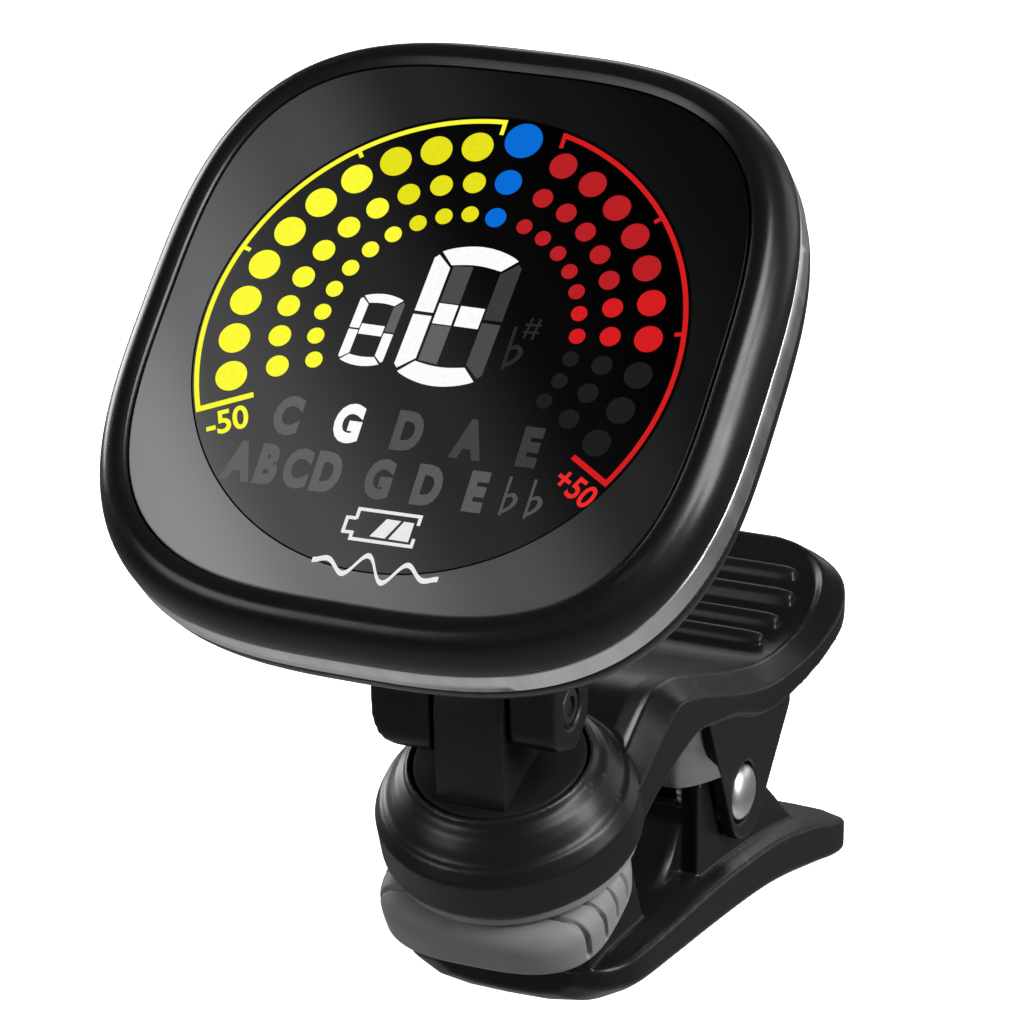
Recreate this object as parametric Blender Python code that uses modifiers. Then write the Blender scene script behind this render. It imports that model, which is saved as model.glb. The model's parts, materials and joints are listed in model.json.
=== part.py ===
"""Clip-on instrument tuner, modelled as an assembly of separate solids.

Frame: +Z up, -Y towards the player, X across the clip. The origin is the middle of the lower
rubber pad's clamping face. Dimensions are in millimetres and become metres when meshes are made.
"""

import math

import bmesh
import bpy
from mathutils import Matrix, Vector

MM = 0.001
GAP = 0.3                     # clearance between neighbouring solids

# Driving dimensions of the clip
CLAMP_LEAN = 20.0             # degrees the clamping axis leans forward
PIVOT = (27.0, -4.8)          # clip axle, as (y, z)
PIN_RADIUS, PIN_HEAD = 1.5, 2.5
WALL_INNER, WALL_OUTER = 6.7, 8.5
EAR_INNER, EAR_OUTER = 8.8, 10.0
FLANGE = 1.6                  # side flange of the upper jaw
BOSS_RADIUS = 11.0
BOSS_BASE, BOSS_RIM = 1.5, 9.55      # heights along the clamping axis
RECESS_RADIUS, RECESS_FLOOR = 7.45, 7.0
PAD_SEAT = -4.8               # lower jaw's pad seat, along the clamping axis
PAD_HALF = (10.2, 8.4)        # lower pad's outline in the clamping plane
PAD_CENTRE, PAD_POWER = -2.9, 3.0

# Driving dimensions of the neck
TILT_HEIGHT = 16.5            # tilt axis above the clamping face, along the clamping axis
POST_HALF_WIDTH = 3.05
KNUCKLE_RADIUS = 3.9
TURNTABLE_RADIUS = 7.15

# Driving dimensions of the head; z is measured outwards from the lens face
HEAD_LEAN = 44.0              # degrees between the lens normal and vertical
HEAD_OFFSET = (-0.6, 17.0, 29.4)     # lens centre from the tilt axis, in head axes
LENS_HALF = (22.95, 23.35)
SHELL_HALF = (26.25, 26.8)
LENS_POWER, SHELL_POWER = 3.26, 3.05  # roundness of the two outlines
HINGE_YZ = (-HEAD_OFFSET[1], -HEAD_OFFSET[2])
SCREW_XY = (17.0, 17.0)
BUTTON_XY = {"power": (-7.0, 17.5), "mode": (7.0, 17.5)}
BUTTON_RADIUS = 3.0
WALL = 1.7                    # wall thickness of the head's shells
BEZEL_BACK, COVER_FRONT = -3.3, -6.3
OUTLINE_STEPS = 44

# name: (red, green, blue, roughness, metallic)
FINISHES = {
    "black_abs": (0.012, 0.012, 0.013, 0.38, 0.0),
    "black_gloss": (0.008, 0.008, 0.009, 0.18, 0.0),
    "grey_rubber": (0.115, 0.115, 0.115, 0.75, 0.0),
    "satin_silver": (0.48, 0.48, 0.49, 0.32, 0.9),
    "polished_steel": (0.72, 0.72, 0.73, 0.16, 1.0),
    "dark_lens": (0.010, 0.010, 0.011, 0.06, 0.0),
    "lcd_black": (0.006, 0.006, 0.007, 0.25, 0.0),
    "clear_acrylic": (0.75, 0.77, 0.78, 0.2, 0.0),
    "board_green": (0.02, 0.12, 0.05, 0.5, 0.0),
    "chip_black": (0.02, 0.02, 0.02, 0.5, 0.0),
    "brass": (0.70, 0.50, 0.22, 0.3, 1.0),
    "cell_silver": (0.6, 0.6, 0.62, 0.35, 0.6),
    "led_white": (0.85, 0.85, 0.8, 0.3, 0.0),
}


# ---------------------------------------------------------------- scene helpers

def clear_scene():
    for obj in list(bpy.data.objects):
        bpy.data.objects.remove(obj, do_unlink=True)


def new_collection(name):
    collection = bpy.data.collections.new(name)
    bpy.context.scene.collection.children.link(collection)
    return collection


def make_material(name):
    red, green, blue, roughness, metallic = FINISHES[name]
    material = bpy.data.materials.new(name)
    material.use_nodes = True
    shader = material.node_tree.nodes["Principled BSDF"]
    shader.inputs["Base Color"].default_value = (red, green, blue, 1.0)
    shader.inputs["Roughness"].default_value = roughness
    shader.inputs["Metallic"].default_value = metallic
    return material


def add_empty(name, location_mm, lean_deg=0.0, parent=None):
    empty = bpy.data.objects.new(name, None)
    PARTS.objects.link(empty)
    empty.location = Vector(location_mm) * MM
    empty.rotation_euler = (math.radians(lean_deg), 0.0, 0.0)
    empty.empty_display_size = 0.01
    empty.parent = parent
    return empty


def add_part(name, mesh, finish, parent=None, offset_mm=(0.0, 0.0, 0.0)):
    """One named sub-part with its own material, placed under its joint's empty."""
    obj = bpy.data.objects.new(name, mesh)
    PARTS.objects.link(obj)
    obj.location = Vector(offset_mm) * MM
    obj.parent = parent
    mesh.materials.append(MATERIALS[finish])
    mesh.shade_smooth()
    mesh.set_sharp_from_angle(angle=math.radians(35.0))
    return obj


def apply_shape(target, mesh, operation, name):
    """Joins mesh to the target, or cuts it away, with a hidden tool in the target's own frame."""
    tool = bpy.data.objects.new(f"{target.name}_{name}", mesh)
    TOOLS.objects.link(tool)
    tool.location = target.location
    tool.parent = target.parent
    tool.hide_render = True
    tool.display_type = "WIRE"
    modifier = target.modifiers.new(name, "BOOLEAN")
    modifier.operation = operation
    modifier.solver = "EXACT"
    modifier.object = tool


def join(target, mesh, name):
    apply_shape(target, mesh, "UNION", name)


def cut(target, mesh, name):
    apply_shape(target, mesh, "DIFFERENCE", name)


def add_bevel(obj, width, segments=2, angle_deg=50.0):
    bevel = obj.modifiers.new("rounded_edges", "BEVEL")
    bevel.width = width * MM
    bevel.segments = segments
    bevel.limit_method = "ANGLE"
    bevel.angle_limit = math.radians(angle_deg)


# ---------------------------------------------------------------- mesh helpers

def to_mesh(bm, name, matrix=None):
    """Finishes a bmesh in millimetres as a mesh in metres with its faces pointing out."""
    if matrix is not None:
        bm.transform(matrix)
    bm.transform(Matrix.Scale(MM, 4))
    bmesh.ops.recalc_face_normals(bm, faces=bm.faces)
    mesh = bpy.data.meshes.new(name)
    bm.to_mesh(mesh)
    bm.free()
    return mesh


def fillet(corners, steps=4):
    """Outline through corners (u, v) or (u, v, radius), with arcs at the corners that have a radius."""
    points = []
    count = len(corners)
    for index, corner in enumerate(corners):
        here = Vector(corner[:2])
        radius = corner[2] if len(corner) > 2 else 0.0
        if radius <= 0.0:
            points.append(here)
            continue
        before = (Vector(corners[index - 1][:2]) - here).normalized()
        after = (Vector(corners[(index + 1) % count][:2]) - here).normalized()
        half = before.angle(after) / 2.0
        centre = here + (before + after).normalized() * (radius / math.sin(half))
        start = here + before * (radius / math.tan(half)) - centre
        sweep = start.angle_signed(here + after * (radius / math.tan(half)) - centre)
        for step in range(steps + 1):
            turned = start.copy()
            turned.rotate(Matrix.Rotation(-sweep * step / steps, 2))
            points.append(centre + turned)
    return points


def extrude_outline(name, points, low, high, axis="X"):
    """A prism: a side outline (y, z) swept along X, or a plan outline (x, y) swept along Z."""
    bm = bmesh.new()
    if axis == "X":
        verts = [bm.verts.new((low, point[0], point[1])) for point in points]
        push = Vector((high - low, 0.0, 0.0))
    else:
        verts = [bm.verts.new((point[0], point[1], low)) for point in points]
        push = Vector((0.0, 0.0, high - low))
    face = bm.faces.new(verts)
    swept = bmesh.ops.extrude_face_region(bm, geom=[face])
    moved = [item for item in swept["geom"] if isinstance(item, bmesh.types.BMVert)]
    bmesh.ops.translate(bm, verts=moved, vec=push)
    return to_mesh(bm, name)


def box(name, low, high):
    bm = bmesh.new()
    size = [high[i] - low[i] for i in range(3)]
    middle = [(high[i] + low[i]) / 2.0 for i in range(3)]
    bmesh.ops.create_cube(bm, size=1.0)
    return to_mesh(bm, name, Matrix.Translation(middle) @ Matrix.Diagonal((*size, 1.0)))


def cylinder(name, radius, low, high, axis="Z", centre=(0.0, 0.0), segments=24):
    """A round bar from low to high along an axis; centre is its place across that axis."""
    bm = bmesh.new()
    bmesh.ops.create_cone(bm, cap_ends=True, segments=segments, radius1=radius, radius2=radius,
                          depth=high - low)
    bm.transform(Matrix.Translation((0.0, 0.0, (low + high) / 2.0)))
    if axis == "X":
        place = Matrix.Translation((0.0, *centre)) @ Matrix.Rotation(math.radians(90.0), 4, "Y")
    else:
        place = Matrix.Translation((*centre, 0.0))
    return to_mesh(bm, name, place)


def turned_part(name, profile, finish, parent=None, offset_mm=(0.0, 0.0, 0.0), steps=40, closed=True,
                along_x=False):
    """A turned solid: profile (radius, height) runs down its outer side, then back up inside."""
    bm = bmesh.new()
    verts = [bm.verts.new((radius, 0.0, height)) for radius, height in profile]
    for first, second in zip(verts, verts[1:]):
        bm.edges.new((first, second))
    if closed:
        bm.edges.new((verts[-1], verts[0]))
    bm.transform(Matrix.Scale(MM, 4))
    mesh = bpy.data.meshes.new(name)
    bm.to_mesh(mesh)
    bm.free()
    obj = add_part(name, mesh, finish, parent, offset_mm)
    if along_x:
        obj.rotation_euler = (0.0, math.radians(90.0), 0.0)
    screw = obj.modifiers.new("turned", "SCREW")
    screw.axis = "Z"
    screw.steps = steps
    screw.render_steps = steps
    screw.use_merge_vertices = True
    screw.merge_threshold = 0.00001
    screw.use_smooth_shade = True
    return obj


def superellipse(half_x, half_y, power, steps=OUTLINE_STEPS):
    points = []
    for index in range(steps):
        angle = 2.0 * math.pi * index / steps
        cosine, sine = math.cos(angle), math.sin(angle)
        x = math.copysign(abs(cosine) ** (2.0 / power), cosine) * half_x
        y = math.copysign(abs(sine) ** (2.0 / power), sine) * half_y
        points.append((x, y))
    return points


def loft(name, loops, capped=True):
    """Skins point loops in order; capped closes the two ends, else the last loop meets the first."""
    bm = bmesh.new()
    rows = [[bm.verts.new(point) for point in loop] for loop in loops]
    pairs = list(zip(rows, rows[1:]))
    if not capped:
        pairs.append((rows[-1], rows[0]))
    for lower, upper in pairs:
        for index in range(len(lower)):
            after = (index + 1) % len(lower)
            bm.faces.new((lower[index], lower[after], upper[after], upper[index]))
    if capped:
        bm.faces.new(rows[0])
        bm.faces.new(rows[-1])
    return to_mesh(bm, name)


def rounded_stack(name, rings, capped=True, steps=OUTLINE_STEPS):
    """A loft of rounded-square rings (half_x, half_y, power, z) or with a centre (..., x, y)."""
    loops = []
    for ring in rings:
        half_x, half_y, power, height = ring[:4]
        x, y = ring[4:] if len(ring) > 4 else (0.0, 0.0)
        loops.append([(x + px, y + py, height) for px, py in superellipse(half_x, half_y, power, steps)])
    return loft(name, loops, capped)


# ---------------------------------------------------------------- lower jaw body

def jaw_plate():
    """Boat-shaped base plate: (y, half width, rim top, rim bottom, keel, crown) stations."""
    stations = [
        (-2.5, 5.6, -9.7, -11.2, -12.6, -9.6), (-1.5, 7.9, -9.6, -11.5, -13.3, -9.5),
        (0.2, 9.3, -9.5, -11.8, -13.9, -9.4), (2.8, 9.9, -9.6, -12.2, -14.3, -9.5),
        (10.0, 10.2, -10.2, -13.0, -14.7, -9.8), (20.0, 10.4, -10.9, -14.2, -15.3, -10.2),
        (30.0, 10.4, -12.1, -15.6, -16.4, -11.6), (37.0, 10.4, -13.3, -17.0, -17.6, -12.9),
        (44.5, 10.5, -15.3, -18.9, -19.3, -14.3), (49.9, 10.6, -17.1, -20.3, -20.5, -16.4),
        (52.6, 10.1, -18.0, -20.8, -20.9, -17.5), (53.9, 8.2, -18.7, -20.9, -21.0, -18.4),
    ]
    loops = []
    for y, half, rim_top, rim_bottom, keel, crown in stations:
        right = [(half - 4.0, keel), (half, rim_bottom), (half, rim_top), (half - 2.0, crown)]
        left = [(-x, z) for x, z in reversed(right)]
        loops.append([(x, y, z) for x, z in right + left])
    return loft("lower_jaw", loops)


def seat_height(y):
    """Height of the inclined pad seat at y."""
    lean = math.radians(CLAMP_LEAN)
    start_y, start_z = -math.sin(lean) * PAD_SEAT, math.cos(lean) * PAD_SEAT
    return start_z + (y - start_y) * math.tan(lean)


def make_lower_jaw():
    jaw = add_part("lower_jaw", jaw_plate(), "black_abs")
    seat = fillet([(-2.0, -11.0), (-2.0, seat_height(-2.0)), (5.6, seat_height(5.6)),
                   (7.4, seat_height(5.6) - 0.8), (13.5, -11.5)])
    join(jaw, extrude_outline("pad_seat", seat, -7.6, 7.6), "pad_seat")
    web = fillet([(10.0, -11.5), (11.0, -10.2), (20.1, -9.5, 8.0), (20.1, -3.2, 0.4),
                  (21.2, -3.2, 0.4), (21.2, -12.5)])
    join(jaw, extrude_outline("web", web, -WALL_INNER - GAP, WALL_INNER + GAP), "web")
    wall = fillet([(20.0, -12.5), (20.0, -1.8, 0.8), (22.4, -0.2, 1.0), (30.2, -0.2, 3.6),
                   (35.9, -7.7, 1.5), (44.4, -14.9), (42.0, -17.0)])
    for side, low in (("right", WALL_INNER), ("left", -WALL_OUTER)):
        join(jaw, extrude_outline("hinge_wall", wall, low, low + WALL_OUTER - WALL_INNER), f"wall_{side}")
    cut(jaw, cylinder("axle_hole", PIN_RADIUS + GAP, -12.0, 12.0, "X", PIVOT), "axle_hole")
    return jaw


def make_lower_pad():
    """Thick rubber pad with a rounded-square plan, lying across the clamping axis."""
    outline = [(x, y + PAD_CENTRE) for x, y in superellipse(*PAD_HALF, PAD_POWER, 40)]
    mesh = extrude_outline("lower_pad", outline, PAD_SEAT + GAP, 0.0, "Z")
    pad = add_part("lower_pad", mesh, "grey_rubber", CLAMP_AXIS)
    add_bevel(pad, 1.2)
    return pad


def make_pivot_pin():
    """Steel rivet with a domed head outside each ear."""
    head, shoulder, dome = PIN_HEAD, WALL_OUTER + GAP, 0.9
    half = [(0.0, EAR_OUTER + dome)]
    for step in range(1, 5):
        angle = math.radians(90.0 - 90.0 * step / 4)
        half.append((head * math.cos(angle), EAR_OUTER + dome * math.sin(angle)))
    half += [(head, shoulder), (PIN_RADIUS, shoulder)]
    profile = half + [(radius, -height) for radius, height in reversed(half)]
    return turned_part("pivot_pin", profile, "polished_steel", None, (0.0, *PIVOT), 24, False, True)


def strip_outline(path, thickness):
    """Closed outline of a strip of even thickness along a path of (y, z) points."""
    left, right = [], []
    for index, point in enumerate(path):
        before = path[max(index - 1, 0)]
        after = path[min(index + 1, len(path) - 1)]
        along = Vector((after[0] - before[0], after[1] - before[1])).normalized()
        across = Vector((-along.y, along.x)) * (thickness / 2.0)
        left.append(Vector(point) + across)
        right.append(Vector(point) - across)
    return left + right[::-1]


def make_clip_spring():
    """Bent steel strip: a leg under the grip, a bulge in front of the axle, a leg on the lower jaw."""
    upper_leg = [(38.0, 1.0), (31.0, 1.7), (26.0, 3.0), (22.0, 3.3)]
    bulge = [(19.9, 2.4), (19.2, 0.6), (20.0, -0.6)]
    lower_leg = [(21.7, -1.6), (22.5, -4.6), (23.0, -7.6), (24.8, -9.3), (28.0, -10.2), (33.0, -11.2)]
    strip = strip_outline(upper_leg + bulge + lower_leg, 0.5)
    spring = add_part("clip_spring", extrude_outline("clip_spring", strip, -5.6, 5.6), "polished_steel")
    shoulder = strip_outline([(21.0, 3.1)] + bulge[:2], 0.5)
    join(spring, extrude_outline("shoulder", shoulder, -8.5, 8.5), "shoulder")
    return spring


# ---------------------------------------------------------------- upper jaw body

def arm_loft():
    """Channel-shaped arm and grip: (y, half width, flange bottom, crease, top, underside)."""
    stations = [
        (1.0, 10.5, 2.4, 6.0, 7.0, 3.4), (5.0, 10.5, 3.7, 8.0, 9.2, 5.2),
        (8.3, 10.5, 4.6, 9.5, 10.8, 7.2), (10.7, 10.5, 5.3, 10.0, 11.2, 8.2),
        (14.6, 10.5, 5.8, 9.0, 10.6, 8.2), (19.0, 10.5, 5.0, 7.5, 9.1, 6.8),
        (24.0, 10.5, 3.8, 5.7, 7.3, 5.0), (29.0, 10.5, 1.9, 4.2, 5.8, 3.6),
        (33.0, 10.6, 1.1, 3.4, 4.8, 2.7), (37.0, 10.8, 1.1, 3.2, 4.3, 2.4),
        (41.0, 10.9, 1.4, 3.3, 4.3, 2.5), (45.0, 10.9, 2.1, 3.9, 4.8, 3.0),
        (48.5, 10.4, 3.0, 4.9, 5.8, 4.0), (51.5, 9.2, 4.1, 5.9, 6.8, 5.0),
        (54.0, 7.2, 5.1, 6.7, 7.5, 5.8), (55.6, 4.8, 5.8, 7.2, 7.9, 6.4),
    ]
    loops = []
    for y, half, bottom, crease, top, under in stations:
        inner = half - FLANGE
        right = [(inner, under), (inner, bottom), (half, bottom), (half, crease), (half - 2.2, top)]
        left = [(-x, z) for x, z in reversed(right)]
        loops.append([(x, y, z) for x, z in right + left])
    return loft("upper_jaw", loops)


def boss_profile():
    """Round boss under the neck: ring, trough, shoulder, step, wall, and a screw counterbore."""
    outside = [
        (RECESS_RADIUS, BOSS_RIM), (7.85, 9.5), (8.25, 8.6), (8.8, 8.2), (9.3, 7.6), (9.75, 6.7),
        (10.35, 6.35), (BOSS_RADIUS, 5.2), (BOSS_RADIUS, 1.9), (10.6, BOSS_BASE),
    ]
    inside = [(4.3, BOSS_BASE), (4.3, 4.0), (1.9, 4.0), (1.9, RECESS_FLOOR), (RECESS_RADIUS, RECESS_FLOOR)]
    return outside + inside


def grip_floor(y):
    """Height of the grip's sunk panel, which rises towards the end."""
    return 3.7 + max(0.0, y - 42.5) * 0.26


def grip_pocket():
    front, middle, back = 38.0, 42.5, 53.2
    side = [(front, 6.5), (front, grip_floor(front)), (middle, grip_floor(middle)),
            (back, grip_floor(back)), (back, 10.0)]
    return extrude_outline("grip_pocket", side, -7.4, 7.4)


def make_upper_jaw():
    arm = add_part("upper_jaw", arm_loft(), "black_abs", CLIP_AXIS, (0.0, -PIVOT[0], -PIVOT[1]))
    clear = cylinder("boss_space", 9.6, -2.0, 20.0, segments=40)
    clear.transform(Matrix.Rotation(math.radians(CLAMP_LEAN), 4, "X"))
    cut(arm, clear, "boss_space")
    boss = turned_part("boss_tool", boss_profile(), "black_abs", CLAMP_AXIS, steps=48)
    PARTS.objects.unlink(boss)
    TOOLS.objects.link(boss)
    boss.hide_render = True
    boss.display_type = "WIRE"
    union = arm.modifiers.new("boss", "BOOLEAN")
    union.operation = "UNION"
    union.solver = "EXACT"
    union.object = boss
    ear = fillet([(18.2, 6.0), (25.7, -9.4, 3.2), (30.7, -9.4, 3.2), (38.3, -0.3), (38.3, 2.4)])
    for side, low in (("right", EAR_INNER), ("left", -EAR_OUTER)):
        join(arm, extrude_outline("ear", ear, low, low + EAR_OUTER - EAR_INNER), f"ear_{side}")
    cut(arm, cylinder("rivet_hole", PIN_HEAD + GAP, -12.0, 12.0, "X", PIVOT), "rivet_hole")
    cut(arm, grip_pocket(), "grip_pocket")
    for index, y in enumerate((40.5, 44.2, 47.9, 51.4)):
        base = grip_floor(y)
        ridge = [(y - 0.9, base - 0.5), (y + 0.9, base - 0.3), (y + 0.7, base + 0.9), (y - 0.2, base + 0.8)]
        half = 6.8 if y < 50.0 else 5.6
        join(arm, extrude_outline("grip_ridge", ridge, -half, half), f"ridge_{index}")
    return arm


def make_upper_pad():
    top = BOSS_BASE - GAP
    profile = [(0.0, top), (10.3, top), (10.5, top - 0.2), (10.4, GAP + 0.1), (10.2, GAP), (0.0, GAP)]
    return turned_part("upper_pad", profile, "grey_rubber", CLAMP_AXIS, steps=40, closed=False)


# ---------------------------------------------------------------- neck body

def make_swivel_post():
    """Turntable disc, tapered post and rounded knuckle, in one moulding."""
    disc_low, disc_top = RECESS_FLOOR + GAP, BOSS_RIM + 0.05
    profile = [(1.35, disc_top), (TURNTABLE_RADIUS - 0.2, disc_top), (TURNTABLE_RADIUS, disc_top - 0.2),
               (TURNTABLE_RADIUS, disc_low), (1.35, disc_low)]
    post = turned_part("swivel_post", profile, "black_abs", SWIVEL_AXIS, (0.0, 0.0, -TILT_HEIGHT))
    side = fillet([(-6.1, disc_top - 0.4), (-3.9, TILT_HEIGHT), (3.9, TILT_HEIGHT), (6.1, disc_top - 0.4)])
    join(post, extrude_outline("stem", side, -POST_HALF_WIDTH, POST_HALF_WIDTH), "stem")
    knuckle = cylinder("knuckle", KNUCKLE_RADIUS, -POST_HALF_WIDTH, POST_HALF_WIDTH, "X",
                       (0.0, TILT_HEIGHT), 32)
    join(post, knuckle, "knuckle")
    cut(post, cylinder("screw_pilot", 1.35, disc_low - 1.0, disc_low + 4.6), "screw_pilot")
    cut(post, cylinder("hinge_bore", 1.45, -6.0, 6.0, "X", (0.0, TILT_HEIGHT)), "hinge_bore")
    return post


def make_swivel_fasteners():
    """Screw from below the boss into the post, with a washer under its head."""
    shank, head, socket = 1.0, 2.6, 1.1
    profile = [(0.0, 11.2), (shank, 11.2), (shank, 2.8), (head, 2.8), (head, 1.9), (head - 0.3, 1.6),
               (socket, 1.6), (socket, 2.2), (0.0, 2.2)]
    place = (0.0, 0.0, -TILT_HEIGHT)
    turned_part("swivel_screw", profile, "polished_steel", SWIVEL_AXIS, place, 24, False)
    washer = [(1.3, 3.7), (3.9, 3.7), (3.9, 3.1), (1.3, 3.1)]
    turned_part("swivel_washer", washer, "polished_steel", SWIVEL_AXIS, place, 24)


# ---------------------------------------------------------------- head body

def head_part(name, mesh, finish):
    return add_part(name, mesh, finish, TILT_AXIS, HEAD_OFFSET)


def shell_ring(inset, height):
    """Ring of the head's outline, moved in by inset, at a height."""
    return (SHELL_HALF[0] - inset, SHELL_HALF[1] - inset, SHELL_POWER, height)


def make_front_bezel():
    """Rounded front frame with a ledge for the lens and four screw posts."""
    rings = [
        (23.25, 23.65, LENS_POWER, 0.0), shell_ring(2.2, 0.35), shell_ring(1.7, 0.1), shell_ring(1.2, -0.5),
        shell_ring(0.45, -1.5), shell_ring(0.1, -2.4), shell_ring(0.0, BEZEL_BACK),
        shell_ring(WALL, BEZEL_BACK), shell_ring(WALL, -2.6), (21.6, 22.0, LENS_POWER, -2.6), (21.6, 22.0, LENS_POWER, -1.5),
        (23.25, 23.65, LENS_POWER, -1.5),
    ]
    bezel = head_part("front_bezel", rounded_stack("front_bezel", rings, False), "black_gloss")
    for index, (x, y) in enumerate(screw_places()):
        join(bezel, cylinder("screw_post", 1.9, -6.9, -2.3, centre=(x, y), segments=16), f"post_{index}")
        cut(bezel, cylinder("pilot", 1.2, -7.5, -3.2, centre=(x, y), segments=16), f"pilot_{index}")
    return bezel


def screw_places():
    x, y = SCREW_XY
    return [(x, y), (-x, y), (-x, -y), (x, -y)]


def make_display_stack():
    """Lens, gasket, display glass, light guide and board, front to back."""
    wide, tall = LENS_HALF
    lens = [(wide, tall, LENS_POWER, -1.2), (wide, tall, LENS_POWER, -0.12),
            (wide - 0.15, tall - 0.15, LENS_POWER, 0.0)]
    head_part("display_lens", rounded_stack("display_lens", lens), "dark_lens")
    gasket = [(20.4, 20.4, 2.4, -2.9), (20.4, 20.4, 2.4, -3.3),
              (19.4, 19.4, 2.4, -3.3), (19.4, 19.4, 2.4, -2.9)]
    head_part("lcd_gasket", rounded_stack("lcd_gasket", gasket, False, 32), "chip_black")
    plates = [("lcd_panel", 20.4, 2.4, -4.5, -3.6, "lcd_black"),
              ("light_guide", 19.8, 2.4, -5.6, -4.8, "clear_acrylic"),
              ("circuit_board", 20.7, 2.3, -6.9, -5.9, "board_green")]
    for name, half, power, low, high, finish in plates:
        rings = [(half, half, power, low), (half, half, power, high)]
        head_part(name, rounded_stack(name, rings, True, 32), finish)
    for side, x in (("left", -21.2), ("right", 21.2)):
        led = box("led", (x - 0.7, -1.6, -5.7), (x + 0.7, 1.6, -4.8))
        head_part(f"backlight_led_{side}", led, "led_white")
    head_part("main_chip", box("main_chip", (-3.8, 4.0, -8.1), (3.8, 11.6, -7.2)), "chip_black")
    for name, (x, y) in BUTTON_XY.items():
        switch = box("switch", (x - 1.8, y - 1.8, -7.5), (x + 1.8, y + 1.8, -7.2))
        head_part(f"tact_switch_{name}", switch, "polished_steel")


def make_trim_ring():
    front, back = BEZEL_BACK - GAP, COVER_FRONT + GAP
    rings = [shell_ring(0.0, front), shell_ring(0.0, back), shell_ring(WALL, back), shell_ring(WALL, front)]
    return head_part("trim_ring", rounded_stack("trim_ring", rings, False), "satin_silver")


def neck_arm(extra):
    """Side outline of one ear, from the battery hump down to the tilt axis."""
    y, z = HINGE_YZ
    return fillet([(-9.0, -15.2), (y - 4.3 - extra, z + 0.2 - extra, 1.6),
                   (y - 2.3 - extra, z - 3.7 - extra, 1.8),
                   (y + 1.4, z - 3.7 - extra, 2.2), (y + 4.2, z - 0.2, 1.0), (0.5, -15.2)])


def make_rear_cover():
    """Shallow back shell, battery hump and the two hinge ears."""
    shell = [shell_ring(WALL + 0.4, -8.6), shell_ring(WALL, COVER_FRONT), shell_ring(0.15, COVER_FRONT),
             shell_ring(0.15, -7.3), shell_ring(0.9, -8.7), shell_ring(2.8, -9.8)]
    cover = head_part("rear_cover", rounded_stack("rear_cover", shell), "black_abs")
    hump = [(13.6, 12.6, 3.6, -9.2, 0.6, -2.6), (12.6, 11.4, 3.6, -13.6, 0.6, -3.8),
            (11.2, 9.6, 3.4, -16.2, 0.6, -4.9), (9.8, 8.2, 3.2, -17.0, 0.6, -5.4)]
    join(cover, rounded_stack("hump", hump, True, 32), "hump")
    for side, low, high, extra in (("left", -8.2, -2.9, 0.8), ("right", 3.9, 8.1, 0.0)):
        join(cover, extrude_outline("ear", neck_arm(extra), low, high), f"ear_{side}")
    hollow = [(12.0, 11.0, 3.6, -7.6, 0.6, -2.6), (11.2, 10.0, 3.6, -13.6, 0.6, -3.8),
              (9.8, 8.4, 3.4, -15.6, 0.6, -4.8)]
    cut(cover, rounded_stack("hump_hollow", hollow, True, 32), "hump_hollow")
    y, z = HINGE_YZ
    cut(cover, cylinder("hinge_bore", 1.45, -12.0, 12.0, "X", (y, z)), "hinge_bore")
    cut(cover, cylinder("head_pocket", 1.9, 6.2, 12.0, "X", (y, z)), "head_pocket")
    cut(cover, cylinder("nut_pocket", 2.2, -12.0, -5.8, "X", (y, z)), "nut_pocket")
    for name, centre in BUTTON_XY.items():
        cut(cover, cylinder("button_hole", BUTTON_RADIUS + GAP, -11.0, -7.0, centre=centre), f"{name}_hole")
    for index, centre in enumerate(screw_places()):
        join(cover, cylinder("screw_boss", 2.9, -9.2, -7.2, centre=centre, segments=16), f"boss_{index}")
        cut(cover, cylinder("clearance", 1.2, -11.0, -6.0, centre=centre, segments=16), f"clearance_{index}")
        counterbore = cylinder("counterbore", 2.1, -11.0, -8.0, centre=centre, segments=16)
        cut(cover, counterbore, f"counterbore_{index}")
    cut(cover, box("port_slot", (-16.0, -7.6, -13.2), (-9.0, 1.8, -10.0)), "port_slot")
    return cover


def make_head_internals():
    """Cell, contact sensor and charging socket inside the hump."""
    cell_box = box("battery_cell", (-5.0, -10.6, -13.8), (9.4, 4.0, -8.6))
    cell = head_part("battery_cell", cell_box, "cell_silver")
    add_bevel(cell, 0.8)
    head_part("piezo_disc", cylinder("piezo_disc", 5.2, -14.9, -14.4, centre=(0.6, -4.8)), "brass")
    socket_box = box("usb_socket", (-12.2, -7.2, -12.9), (-6.4, 1.4, -10.3))
    socket = head_part("usb_socket", socket_box, "polished_steel")
    cut(socket, box("socket_mouth", (-14.0, -6.5, -12.4), (-8.0, 0.7, -10.8)), "mouth")


def make_head_fasteners():
    screw = [(0.0, -3.6), (0.9, -3.6), (0.9, -8.3), (1.8, -8.3), (1.8, -9.0), (1.5, -9.3),
             (0.8, -9.3), (0.8, -8.9), (0.0, -8.9)]
    for index, (x, y) in enumerate(screw_places(), 1):
        place = (HEAD_OFFSET[0] + x, HEAD_OFFSET[1] + y, HEAD_OFFSET[2])
        turned_part(f"case_screw_{index}", screw, "polished_steel", TILT_AXIS, place, 16, False)
    bolt = [(0.0, 7.0), (0.9, 7.0), (0.9, 7.3), (1.4, 7.3), (1.6, 7.1), (1.6, 6.0), (1.1, 6.0), (1.1, -8.6),
            (0.0, -8.6)]
    turned_part("hinge_screw", bolt, "polished_steel", TILT_AXIS, (0.0, 0.0, 0.0), 20, False, True)
    nut = [(1.9, -6.6), (1.9, -8.4), (1.4, -8.4), (1.4, -6.6)]
    turned_part("hinge_nut", nut, "polished_steel", TILT_AXIS, (0.0, 0.0, 0.0), 6, True, True)


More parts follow.
